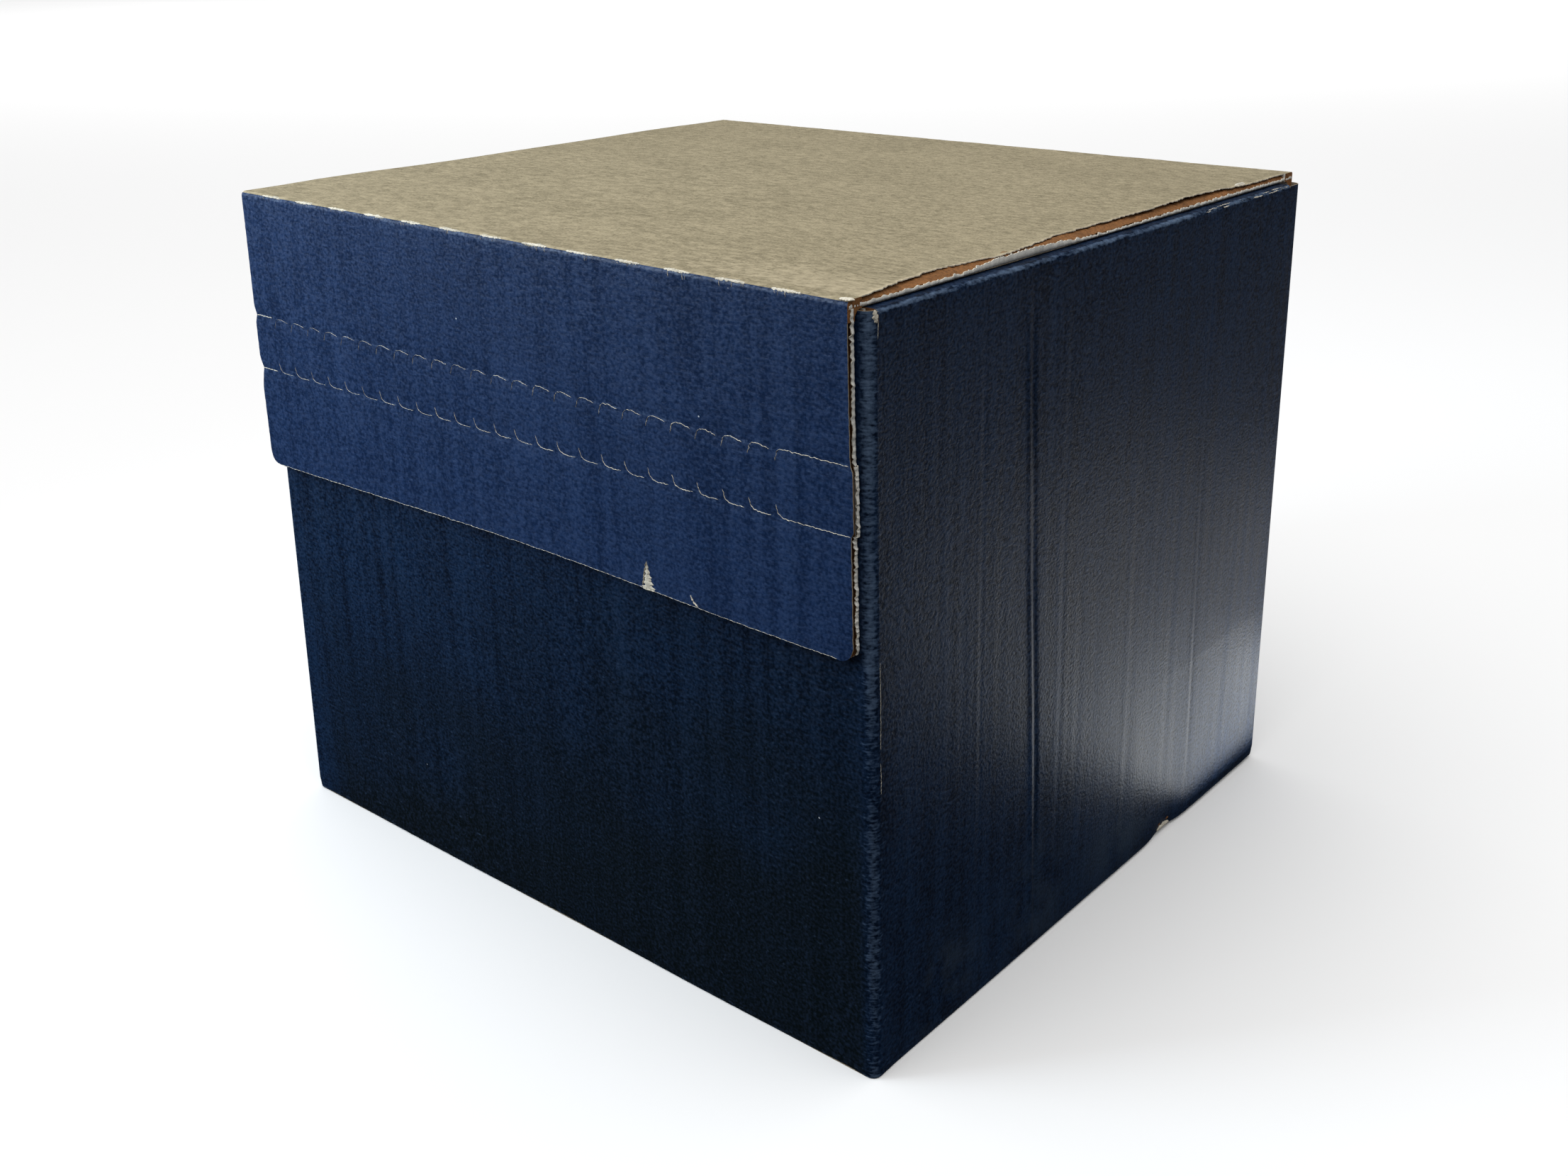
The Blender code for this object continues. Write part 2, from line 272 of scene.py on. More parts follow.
RUBBED_PRINT = (0.088, 0.135, 0.215)
SCUFFED_PRINT = (0.024, 0.040, 0.066)
BARED_BOARD = (0.36, 0.30, 0.21)
DUST = (0.50, 0.53, 0.57)
FRESH_AND_LIT_KRAFT = (0.46, 0.39, 0.265)


def navy_print(name, dark, light):
    """Flood-printed liner: uneven ink over paper fibre, streaks along the flutes, wear and dust, and painted
    shade where a mesh carries that mark.
    """
    shade = Shade(name, 0.45, 0.28)
    grain = shade.noise(950, 3.0)
    weave = shade.noise(1300, 2.0, (0.3, 0.3, 1.0))
    blotch = shade.noise(60, 3.0)
    streak = shade.noise(250, 2.0, (1.0, 1.0, 0.03))
    ink = shade.total((grain, 0.42), (weave, 0.28), (streak, 0.2), (blotch, 0.1))
    colour = shade.mix(shade.remap(ink, 0.41, 0.59), dark, light)
    # Painted shade: darkens the print towards the front wall's lower right, standing in for light that falls
    # off there.
    painted_shade = shade.math("MULTIPLY", shade.mark("painted_shade"), shade.remap(grain, 0.7, 0.3, 0.55, 1.0))
    colour = shade.mix(painted_shade, colour, tint(dark, 2.0, 0.9, 0.35))
    # The wear mark is rubbed print; on the upright folds it also carries a painted highlight, lighter towards
    # the top.
    rubbed = shade.total((shade.mark("wear"), 1.0), (weave, 1.5), (grain, 0.6))
    colour = shade.mix(shade.remap(rubbed, 1.35, 2.25), colour, RUBBED_PRINT)
    scuffed = shade.math("MULTIPLY", shade.mark("scuff"), shade.remap(blotch, 0.38, 0.58))
    colour = shade.mix(scuffed, colour, SCUFFED_PRINT)
    bare = shade.remap(shade.total((shade.mark("bare"), 1.0), (grain, 0.8)), 0.85, 1.1)
    colour = shade.mix(bare, colour, BARED_BOARD)
    colour = shade.mix(shade.spots(75, 0.020, 0.25), colour, DUST)
    rough = shade.remap(shade.total((streak, 0.4), (grain, 0.6)), 0.4, 0.6, 0.40, 0.50)
    shade.surface(Specular_IOR_Level=shade.remap(grain, 0.36, 0.64, 0.14, 0.42))
    return shade.finish(colour, shade.total((grain, 1.0), (weave, 0.5)), 0.7, 0.00022, rough)


def kraft_paper(name, base):
    """Unprinted kraft liner: cloudy colour, short darker and paler fibres."""
    shade = Shade(name, 0.82, 0.2)
    cloud = shade.noise(45, 3.0, (0.6, 1.0, 1.0))
    fibre = shade.noise(480, 5.0, (0.5, 1.0, 1.0))
    fine = shade.noise(1250, 3.0)
    tone = shade.total((cloud, 0.12), (fibre, 0.40), (fine, 0.48))
    dark, pale = tint(base, 0.70, 0.69, 0.64), tint(base, 1.26, 1.25, 1.22)
    colour = shade.mix(shade.remap(tone, 0.39, 0.61), dark, pale)
    colour = shade.mix(shade.remap(fine, 0.62, 0.76, 0.0, 0.4), colour, tint(base, 0.6))
    # Wear mixes in paler kraft: fresh fibre at torn edges, and on the lid also painted light towards its
    # front right.
    fresh_and_lit = shade.remap(shade.total((shade.mark("wear"), 1.0), (fibre, 0.8)), 0.6, 1.4)
    colour = shade.mix(fresh_and_lit, colour, FRESH_AND_LIT_KRAFT)
    rough = shade.remap(fibre, 0.3, 0.7, 0.74, 0.9)
    return shade.finish(colour, shade.total((fibre, 1.0), (fine, 1.0)), 0.45, 0.0002, rough)


def plain_paper(name, base, spread, roughness):
    """Fibrous unprinted paper of one colour."""
    shade = Shade(name, roughness, 0.25)
    cloud = shade.noise(90, 3.0)
    fibre = shade.noise(1300, 4.0)
    tone = shade.remap(shade.total((cloud, 0.4), (fibre, 0.6)), 0.36, 0.64)
    colour = shade.mix(tone, tint(base, 1 - spread), tint(base, 1 + spread))
    rough = shade.remap(fibre, 0.3, 0.7, roughness - 0.08, roughness + 0.08)
    return shade.finish(colour, fibre, 0.4, 0.00015, rough)


def glue(name, base, roughness):
    """Dried adhesive: slightly cloudy, with a rippled skin."""
    shade = Shade(name, roughness, 0.5)
    cloud = shade.noise(160, 3.0)
    ripples = shade.noise(420, 2.0)
    colour = shade.mix(shade.remap(cloud, 0.35, 0.65), tint(base, 0.8), base)
    rough = shade.remap(ripples, 0.3, 0.7, roughness - 0.1, roughness + 0.15)
    return shade.finish(colour, ripples, 0.5, 0.0003, rough)


NAVY = navy_print("navy_printed_liner", (0.0008, 0.0050, 0.0165), (0.0046, 0.0225, 0.0660))
# Painted light: the flap's copy of the navy print is the same ink made lighter, because more light falls on
# the flap than on the wall below.
NAVY_LIT_FLAP = navy_print("navy_flap_liner_painted_lighter", (0.0048, 0.0160, 0.0520), (0.0150, 0.0395, 0.1140))
KRAFT = kraft_paper("kraft_liner", (0.270, 0.230, 0.152))
WHITE = plain_paper("white_inner_liner", (0.60, 0.59, 0.55), 0.10, 0.8)
BROWN = plain_paper("brown_fluted_medium", (0.19, 0.082, 0.026), 0.35, 0.85)
CUT_EDGE = plain_paper("cut_paper_edge", (0.30, 0.25, 0.18), 0.30, 0.9)
FIBRE = plain_paper("torn_paper_fibre", (0.56, 0.52, 0.43), 0.22, 0.9)
HOT_MELT = glue("clear_hot_melt", (0.50, 0.47, 0.38), 0.35)
WHITE_GLUE = glue("white_glue", (0.66, 0.66, 0.62), 0.45)


# ---------------------------------------------------------------- surfaces


def flat(origin, across, along):
    """Map from a panel's (u, v, n), across the flutes, along them and outward, to the box's own axes."""
    origin, across, along = (np.array(a, float) for a in (origin, across, along))
    out = np.cross(across, along)

    def place(u, v, n):
        return origin + u[..., None] * across + v[..., None] * along + n[..., None] * out

    return place


def round_walls():
    """Map for the printed skin round the walls, from the seam tab's free edge to the back wall's."""
    corners = np.array([(TAB_END, TAB_OUTER), (LEFT, TAB_OUTER), (LEFT, FRONT), (RIGHT, FRONT), (RIGHT, BACK),
                        (LEFT, BACK)])
    path = [corners[0]]
    facing = []
    starts = []
    for before, corner, after in zip(corners, corners[1:], corners[2:]):
        way_in = (corner - before) / np.linalg.norm(corner - before)
        way_out = (after - corner) / np.linalg.norm(after - corner)
        if not facing:
            facing.append(np.array((way_in[1], -way_in[0])))
        centre = corner - CORNER_RADIUS * way_in + CORNER_RADIUS * way_out
        starts.append(len(path))
        for step in range(CORNER_STEPS + 1):
            turn = step / CORNER_STEPS * math.pi / 2
            normal = np.array((way_in[1], -way_in[0])) * math.cos(turn) + way_in * math.sin(turn)
            path.append(centre + CORNER_RADIUS * normal)
            facing.append(normal)
    path.append(corners[-1])
    facing.append(facing[-1])
    path, facing = np.array(path), np.array(facing)
    run = distance_along(path)

    def place(u, v, n):
        point = np.stack([np.interp(u, run, path[:, k]) for k in (0, 1)], -1)
        normal = np.stack([np.interp(u, run, facing[:, k]) for k in (0, 1)], -1)
        normal /= np.linalg.norm(normal, axis=-1, keepdims=True)
        return np.concatenate([point + n[..., None] * normal, v[..., None]], -1)

    return place, [(run[i], run[i + CORNER_STEPS]) for i in starts], run[-1]


SKIN, FOLDS, SKIN_END = round_walls()
TAB_FOLD, LEFT_FOLD, FRONT_FOLD, BACK_FOLD = FOLDS
FLAP = flat((LID_LEFT, FLAP_FRONT, 0), (1, 0, 0), (0, 0, 1))
LID = flat((LID_LEFT, FLAP_FRONT, TOP), (1, 0, 0), (0, 1, 0))


# ---------------------------------------------------------------- meshes


def grid_faces(columns, rows, offset=0):
    i, j = np.meshgrid(np.arange(columns - 1), np.arange(rows - 1), indexing="ij")
    first = (i * rows + j + offset).ravel()
    return np.stack([first, first + rows, first + rows + 1, first + 1], 1)


def rim_faces(columns, rows, offset=0):
    """Faces that join the edge of one grid of points to the edge of the next grid."""
    loop = [(i, 0) for i in range(columns)] + [(columns - 1, j) for j in range(1, rows)]
    loop += [(i, rows - 1) for i in range(columns - 2, -1, -1)] + [(0, j) for j in range(rows - 2, 0, -1)]
    ring = np.array([i * rows + j + offset for i, j in loop])
    after = np.roll(ring, -1)
    count = columns * rows
    return np.stack([ring + count, after + count, after, ring], 1)


def new_object(name, data):
    obj = bpy.data.objects.new(name, data)
    bpy.context.scene.collection.objects.link(obj)
    return obj


def add_piece(name, points, faces, kinds, materials, body, nodes=(), marks=None, blend=None,
              smooth=True):
    """Make a mesh object from points in millimetres, tie it to its CAD body unless given a blend (then it
    stays unparented), and hide its CAD nodes.
    """
    mesh = bpy.data.meshes.new(name)
    mesh.from_pydata((lean(points) * MM).tolist(), [], [list(map(int, face)) for face in faces])
    for material in materials:
        mesh.materials.append(material)
    mesh.polygons.foreach_set("material_index", np.asarray(kinds, np.int32))
    for mark, values in (marks or {}).items():
        layer = mesh.attributes.new(mark, "FLOAT", "POINT")
        layer.data.foreach_set("value", np.asarray(values, np.float32))
    mesh.validate()
    if smooth:
        mesh.shade_smooth()
        mesh.set_sharp_from_angle(angle=SHARP_ANGLE)
    obj = new_object(name, mesh)
    if blend is None:
        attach(obj, body)
    else:
        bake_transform(obj)
    if nodes:
        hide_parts(*nodes)


def thick_sheet(name, outer, inner, materials, body, slot, nodes=(), marks=None):
    """Closed sheet between two grids of points; its rim takes the last material."""
    columns, rows = outer.shape[:2]
    front = grid_faces(columns, rows)
    rear = grid_faces(columns, rows, columns * rows)[:, ::-1]
    rim = rim_faces(columns, rows)
    faces = np.concatenate([front, rear, rim])
    kinds = [0] * len(front) + [1] * len(rear) + [2] * len(rim)
    points = np.concatenate([outer.reshape(-1, 3), inner.reshape(-1, 3)])
    both = {mark: np.concatenate([v.ravel(), v.ravel()]) for mark, v in (marks or {}).items()}
    add_piece(name, points, faces, kinds, materials, body, nodes, both)


def stations(start, end, step, extra=()):
    """Evenly spaced stations from start to end, and the extra ones that fall between."""
    even = np.linspace(start, end, max(2, int(round((end - start) / step)) + 1))
    kept = [x for x in extra if start < x < end]
    return np.unique(np.round(np.concatenate([even, kept]), 4))


def panel_grid(u, low, high, step):
    """(u, v) grid whose rows run between a low and a high edge, given as functions of u or as numbers."""
    bottom = low(u) if callable(low) else np.full(len(u), low)
    top = high(u) if callable(high) else np.full(len(u), high)
    rows = max(2, int(round(np.max(top - bottom) / step)) + 1)
    share = np.linspace(0, 1, rows)
    return np.repeat(u[:, None], rows, 1), bottom[:, None] + (top - bottom)[:, None] * share


def washboard(u, v, seed, height=0.013):
    """Shallow relief of the flute tips in a liner, stronger and weaker from place to place."""
    strength = 1 + 0.6 * ripple(u, v * 0.3, 40, seed)
    drift = 0.8 * ripple(u, v * 0.2, 60, seed + 2)
    flutes = height * strength * np.cos(math.tau * u / FLUTE_PITCH + drift)
    return flutes + 0.5 * height * ripple(u, v * 0.1, 9, seed + 1)


def liner(name, surface, grid, depth, relief, materials, body, slot, nodes=(), marks=None):
    u, v = grid
    n = relief(u, v) - depth
    thick_sheet(name, surface(u, v, n), surface(u, v, n - LINER), materials, body, slot, nodes, marks)


def flutes(name, surface, u, v, level, body, crushed=0.0):
    """Waved paper between the liners."""
    reach = BOARD / 2 - LINER - MEDIUM / 2 - FLUTE_GAP - crushed
    n = level - BOARD / 2 + reach * np.cos(math.tau * u / FLUTE_PITCH)
    outer, inner = surface(u, v, n + MEDIUM / 2), surface(u, v, n - MEDIUM / 2)
    thick_sheet(f"{name}_flutes", outer, inner, (BROWN, BROWN, BROWN), body, "brown_fluted_medium",
                (f"{name}_fluted_medium",))


def medium(name, surface, start, end, low, high, body, crushed=0.0):
    u, v = panel_grid(stations(start, end, FLUTE_COLUMN), low, high, LONG_ROW)
    flutes(name, surface, u, v, 0.0, body, crushed)


def inner_liner(name, surface, start, end, low, high, body, seed):
    grid = panel_grid(stations(start, end, COLUMN), low, high, LINING_ROW)
    liner(f"{name}_lining", surface, grid, BOARD - LINER, lambda u, v: -washboard(u, v, seed, 0.03),
          (WHITE, WHITE, CUT_EDGE), body, "white_inner_liner", (f"{name}_inner_liner",))


def board(name, surface, start, end, low, high, body, seed):
    """Plain panel of three layers, printed outside and white inside."""
    grid = panel_grid(stations(start, end, COLUMN), low, high, PRINT_ROW)
    liner(f"{name}_print", surface, grid, 0.0, lambda u, v: washboard(u, v, seed),
          (NAVY, CUT_EDGE, CUT_EDGE), body, "navy_printed_liner", (f"{name}_outer_liner",))
    medium(name, surface, start + TRIM, end - TRIM, trimmed(low, TRIM), trimmed(high, -TRIM), body)
    inner_liner(name, surface, start, end, low, high, body, seed + 5)


def trimmed(edge, change):
    if callable(edge):
        return lambda u: edge(u) + change
    return edge + change


def polyline(*points):
    """Edge through a few points, as a function of u."""
    xs, ys = zip(*points)
    return lambda u: np.interp(u, xs, ys)


# ---------------------------------------------------------------- walls


def corner_wear_and_highlight(u, v):
    """Rubbed print along the upright folds, growing towards the top; that rise is a painted highlight, making
    the fold bands lighter at the top.
    """
    wear = 0 * u
    for start, end in FOLDS:
        middle, half = (start + end) / 2, (end - start) / 2
        amount = 0.42 + 0.38 * v / TOP + 0.12 * ripple(u, v, 35, 3)
        wear = wear + amount * bell(u, middle, half * 0.9)
    return clamp(wear)


def crease(u, middle, depth, width):
    """Pressed line in a wall: a groove with a raised lip on the near side."""
    return depth * (0.8 * bell(u, middle - width, width) - bell(u, middle + width, width))


def right_wall(share):
    """Where on the printed skin a share of the right wall's depth lies, from the front."""
    return FRONT_FOLD[1] + share * WALL_DEPTH


# Pressed lines of the right wall: share of its depth, depth of the groove, half its width, slant
RIGHT_CREASES = ((0.305, 0.38, 1.1, -0.045), (0.735, 0.12, 0.9, -0.02), (0.19, 0.07, 1.0, 0.0),
                 (0.37, 0.07, 1.4, 0.0), (0.55, 0.05, 1.5, 0.0))
CREASE_FADE = 12
# Where the bite in the right wall's foot is, as a share of its depth
BITE = 0.69
BELOW_FOLD = WALL_TOP - FOLD_REACH
CORNER_TOP = WALL_TOP - 0.5
WALL_FOOT = 0.25


def wall_relief(u, v):
    """Flute tips, slow buckling, the right wall's pressed lines and dent, and the rolled bottom edge."""
    free = clamp(1.4 - sum(bell(u, (a + b) / 2, 9) for a, b in FOLDS) * 1.4)
    free = free * clamp((BELOW_FOLD - v) / 15)
    height = washboard(u, v, 11) * free + 0.16 * ripple(u, v, 120, 21) * free
    pressed = free * clamp(v / CREASE_FADE)
    for share, size, width, slant in RIGHT_CREASES:
        middle = right_wall(share + slant * (v / TOP - 0.5))
        height = height + pressed * crease(u, middle, size * (1 + 0.3 * ripple_line(v, 60, 33)), width)
    roll = clamp(1 - v / BOTTOM_ROLL)
    dent = 1.6 * bell(u, right_wall(BITE), 9) * bell(v, 0, 7)
    return height - BOTTOM_ROLL * (1 - np.sqrt(1 - roll ** 2)) - dent


def wall_scuff(u, v):
    """Soft rubbed patches low on the right wall."""
    near = bell(u, right_wall(0.13), 14) * bell(v, 16, 14)
    middle = 0.7 * bell(u, right_wall(0.33), 16) * bell(v, 18, 26)
    far = 0.8 * bell(u, right_wall(0.55), 24) * bell(v, 14, 14)
    return clamp(near + middle + far)


def wall_bare(u, v):
    """Print torn off round the bite at the right wall's foot."""
    return clamp(1.1 * bell(u, right_wall(BITE), 4.5) * bell(v, 0, 2.6))


def painted_shade_lower_right(u, v):
    """Painted shade: the front wall's print darkened towards its lower right, where the light falls off."""
    start, end = LEFT_FOLD[1], FRONT_FOLD[0]
    across = (u - start) / (end - start)
    inside = clamp((u - start) / 20) * clamp((end + 2 - u) / 4)
    slope = 0.75 * (1 - v / TOP) + 0.25 * across + 0.04 * ripple(u, v, 60, 62)
    return inside * clamp((slope - 0.45) / 0.35)


def side_top(side, start, end):
    """Upper edge of a side wall: cut away where its dust flap folds over, whole beyond the flap's ends."""
    low, high = box_mm(f"{side}_dust_flap_outer_liner")
    inside = 0.25
    half = (high[1] - low[1]) / 2 - inside
    shift = (low[1] + high[1]) / 2 - (FRONT + BACK) / 2
    near = (start + end) / 2 + (shift if side == "right" else -shift)
    return lambda u: np.where(np.abs(u - near) < half, BELOW_FOLD, CORNER_TOP)


def wall_skin(side, start, end, top, extra=()):
    """Printed skin of one wall, with the upright fold that it shares with the wall before it."""
    u, v = panel_grid(stations(start, end, COLUMN, extra), WALL_FOOT, top, ROW)
    # The last mark is painted shade: it darkens the front wall towards its lower right.
    marks = {"wear": corner_wear_and_highlight(u, v) + 0.2 * bell(v, 0, 1.5), "scuff": wall_scuff(u, v),
             "bare": wall_bare(u, v), "painted_shade": painted_shade_lower_right(u, v)}
    liner(f"{side}_wall_print", SKIN, (u, v), 0.0, wall_relief, (NAVY, CUT_EDGE, CUT_EDGE), "box_body",
          "navy_printed_liner", (f"{side}_wall_outer_liner",), marks)


def steps_of(edge, start, end):
    """Stations on both sides of each step in an edge."""
    fine = np.linspace(start, end, 4000)
    jumps = np.nonzero(np.abs(np.diff(edge(fine))) > 1)[0]
    return [x for k in jumps for x in (fine[k], fine[k + 1])]


def fine_folds(*folds):
    """Extra stations that keep an upright fold round."""
    return [x for a, b in folds for x in np.linspace(a - 1, b + 1, 16)]


def build_walls():
    """The printed skin in four pieces, then each wall's flutes and lining, then the seam tab."""
    front_top = wall_high[2]
    left_top = side_top("left", TAB_FOLD[1], LEFT_FOLD[0])
    right_top = side_top("right", FRONT_FOLD[1], BACK_FOLD[0])
    back_end = BACK_FOLD[1] + 0.3
    wall_skin("left", TAB_FOLD[0], LEFT_FOLD[0], left_top,
              fine_folds(TAB_FOLD) + steps_of(left_top, TAB_FOLD[0], LEFT_FOLD[0]))
    wall_skin("front", LEFT_FOLD[0], FRONT_FOLD[1], front_top, fine_folds(LEFT_FOLD, FRONT_FOLD))
    wall_skin("right", FRONT_FOLD[1], BACK_FOLD[0], right_top,
              steps_of(right_top, FRONT_FOLD[1], BACK_FOLD[0]))
    wall_skin("back", BACK_FOLD[0], SKIN_END,
              lambda u: np.where(u < back_end, CORNER_TOP, TOP - FOLD_REACH),
              fine_folds(BACK_FOLD) + [back_end - 0.05, back_end + 0.05])

    tuck = BOARD + 0.3
    walls = (("front_wall", (LEFT, FRONT, 0), (1, 0, 0), RIGHT - LEFT, front_top),
             ("right_wall", (RIGHT, FRONT, 0), (0, 1, 0), WALL_DEPTH, BELOW_FOLD),
             ("back_wall", (RIGHT, BACK, 0), (-1, 0, 0), RIGHT - LEFT + tuck, TOP - FOLD_REACH),
             ("left_wall", (LEFT, TAB_OUTER, 0), (0, -1, 0), TAB_OUTER - FRONT, BELOW_FOLD))
    for seed, (name, corner, across, run, top) in enumerate(walls):
        surface = flat(corner, across, (0, 0, 1))
        medium(name, surface, tuck, run - tuck, tuck, top - TRIM, "box_body", WALL_CRUSH)
        inner_liner(name, surface, tuck, run - tuck, tuck, top, "box_body", 40 + seed)

    low, high = box_mm("seam_tab_outer_liner")
    width = high[0] - low[0]
    slope = 6.0
    tab = flat((high[0], TAB_OUTER, 0), (-1, 0, 0), (0, 0, 1))
    board("seam_tab", tab, 0, width, polyline((0, low[2] + slope), (width, low[2])),
          polyline((0, high[2] - slope), (width, high[2])), "box_body", 50)


def build_base():
    """Main flaps that meet in a stepped seam, and tapered side flaps inside them."""
    for seed, (name, along) in enumerate((("base_front", 1.0), ("base_back", -1.0))):
        low, high = box_mm(f"{name}_outer_liner")
        width = high[0] - low[0]
        near, far, right = (FRONT, high[1], high[0]) if along > 0 else (BACK, low[1], low[0])
        reach = abs(far - near)
        step, run = 28.0, 18.0
        seam = polyline(((width - run) / 2, reach), ((width + run) / 2, reach - step))
        start = (right, near, 0)
        surface = flat(start, (-along, 0, 0), (0, along, 0))
        board(name, surface, 0, width, 0.6, seam, "box_body", 60 + seed)

    for seed, (name, side) in enumerate((("base_right", 1.0), ("base_left", -1.0))):
        low, high = box_mm(f"{name}_outer_liner")
        length, span, _ = high - low
        taper = 34.0
        start = (high[0], high[1], low[2]) if side > 0 else low
        surface = flat(start, (0, -side, 0), (-side, 0, 0))
        foot = length - taper
        edge = polyline((0, foot), (taper, length), (span - taper, length), (span, foot))
        board(name, surface, 0, span, 0.0, edge, "box_body", 64 + seed)


def blob(name, node, material, slot, seed):
    """Dried glue: a flattened pad with a wavy outline that stays inside its CAD box."""
    low, high = box_mm(node)
    size = high - low
    thin = int(np.argmin(size))
    one, two = (k for k in range(3) if k != thin)
    s, t = np.meshgrid(*(np.linspace(0, 1, max(9, int(size[k] / 3))) for k in (one, two)), indexing="ij")
    edge = np.minimum(np.minimum(s, 1 - s) * size[one], np.minimum(t, 1 - t) * size[two])
    round_off = clamp(edge / GLUE_ROUNDING) ** 0.5
    wave = 0.12 * ripple(s * size[one], t * size[two], 14, seed)
    half = size[thin] / 2 * np.clip(round_off * (0.86 + wave), 0.08, 1)
    sheets = []
    for sign in (1, -1):
        grid = np.zeros(s.shape + (3,))
        grid[..., one] = low[one] + s * size[one]
        grid[..., two] = low[two] + t * size[two]
        grid[..., thin] = (low[thin] + high[thin]) / 2 + sign * half
        sheets.append(grid)
    if thin == 1:
        sheets.reverse()
    thick_sheet(name, *sheets, (material, material, material), "box_body", slot, (node,))


def build_glue():
    """Pads between the base flaps, the bead down the seam, and the film under the flap."""
    for index, corner in enumerate(("front_left", "front_right", "back_left", "back_right")):
        node = f"base_glue_patch_{corner}"
        blob(f"{node}_pad", node, HOT_MELT, "clear_hot_melt", 70 + index)
    blob("seam_glue_bead", "seam_glue_line", WHITE_GLUE, "white_glue", 75)
    blob("closure_adhesive_film", "closure_adhesive_strip", HOT_MELT, "clear_hot_melt", 76)


# ---------------------------------------------------------------- folds


def rounded(outside, turns, depth=0.0):
    """Points (a, b) on a fold's rounded outside, or as far below it as depth."""
    radius = outside - depth
    return [(outside - radius * math.sin(turn), outside - radius * math.cos(turn)) for turn in turns]


class Fold:
    """Creased board between two panels; points (a, b) lie along the panels from their common corner."""

    def __init__(self, corner, ways, line, span, materials, wear, width=1.3):
        self.corner, self.way_a, self.way_b, self.line = np.array([corner, *ways, line], float)
        self.start, self.end = span
        self.materials, self.wear, self.width = materials, wear, width

    def bend(self, first, second):
        """The two bodies and a point FOLD_BEND from the corner on each panel, handed to add_piece as blend,
        which leaves the piece unparented.
        """
        middle = self.corner + self.line * (self.start + self.end) / 2
        near, far = (in_metres(middle + FOLD_BEND * way) for way in (self.way_a, self.way_b))
        return first, second, near, far

    def piece(self, name, ring, sides, body, slot, blend=None):
        """A closed prism along the fold; sides holds a material number for each side of the ring."""
        t = stations(self.start, self.end, COLUMN)
        middle = BOARD / 2
        buckle = 0.05 * ripple_line(t, 30, 3) + 0.03 * ripple_line(t, 5, 4)
        spots, rubbed = [], []
        blotch = 1 + 0.25 * ripple_line(t, 25, 5)
        for along, shift, strength in zip(t, buckle, blotch):
            for a, b in ring:
                near = shift * math.exp(-((a - middle) ** 2 + (b - middle) ** 2) / 6)
                across = (a + near) * self.way_a + (b + near) * self.way_b
                spots.append(self.corner + self.line * along + across)
                rubbed.append(strength * self.wear * math.exp(-((a + b - 0.9) / self.width) ** 2))
        size = len(ring)
        flip = np.dot(np.cross(self.way_a, self.way_b), self.line) > 0
        faces, kinds = [], []
        for row in range(len(t) - 1):
            for j in range(size):
                k = (j + 1) % size
                face = [row * size + j, row * size + k, (row + 1) * size + k, (row + 1) * size + j]
                faces.append(face[::-1] if flip else face)
                kinds.append(sides[j])
        for row in (0, len(t) - 1):
            cap = [row * size + j for j in range(size)]
            faces.append(cap if (row == 0) != flip else cap[::-1])
            kinds.append(3)
        add_piece(name, np.array(spots), faces, kinds, self.materials, body,
                  marks={"wear": clamp(rubbed)}, blend=blend)


QUARTER = np.linspace(0, math.pi / 2, 9)
BEAD_TOP = (BOARD + BEAD_SETBACK) * 0.94
BEAD_FOOT = BOARD + BEAD_SETBACK + 0.8


def build_bent_fold(name, fold, bodies, slot):
    """A fold that opens less than a half turn: one strip between its two bodies, left in place without
    following either.
    """
    outer = [(FOLD_REACH, 0.0)] + rounded(FOLD_RADIUS, QUARTER) + [(0.0, FOLD_REACH)]
    inner = [(BOARD, FOLD_REACH), (BOARD, BEAD_FOOT), (BEAD_TOP, BEAD_TOP), (BEAD_FOOT, BOARD),
             (FOLD_REACH, BOARD)]
    sides = [0] * 5 + [1] * 5 + [2] * 6
    fold.piece(name, outer + inner, sides, bodies[0], slot, fold.bend(*bodies))


def build_open_fold(name, fold, bodies, slots, radius):
    """A fold that opens a half turn or more: two rigid halves that part at the mitre, under a thin skin."""
    half = [(FOLD_REACH, 0.0), (radius, 0.0)] + rounded(radius, QUARTER[:5], FOLD_SKIN)
    half += [(BEAD_TOP, BEAD_TOP), (BEAD_FOOT, BOARD), (FOLD_REACH, BOARD)]
    sides = [0] + [2] * (len(half) - 1)
    fold.piece(f"{name}_{bodies[0]}", half, sides, bodies[0], slots[0])
    other = [(b, a) for a, b in half[::-1]]
    sides = [2] * (len(half) - 2) + [1, 2]
    fold.piece(f"{name}_{bodies[1]}", other, sides, bodies[1], slots[1])
    skin = rounded(radius, QUARTER) + rounded(radius, QUARTER[::-1], FOLD_SKIN)
    sides = [0] * 4 + [1] * 4 + [2] * 10
    fold.piece(f"{name}_skin", skin, sides, bodies[0], slots[0], fold.bend(*bodies))


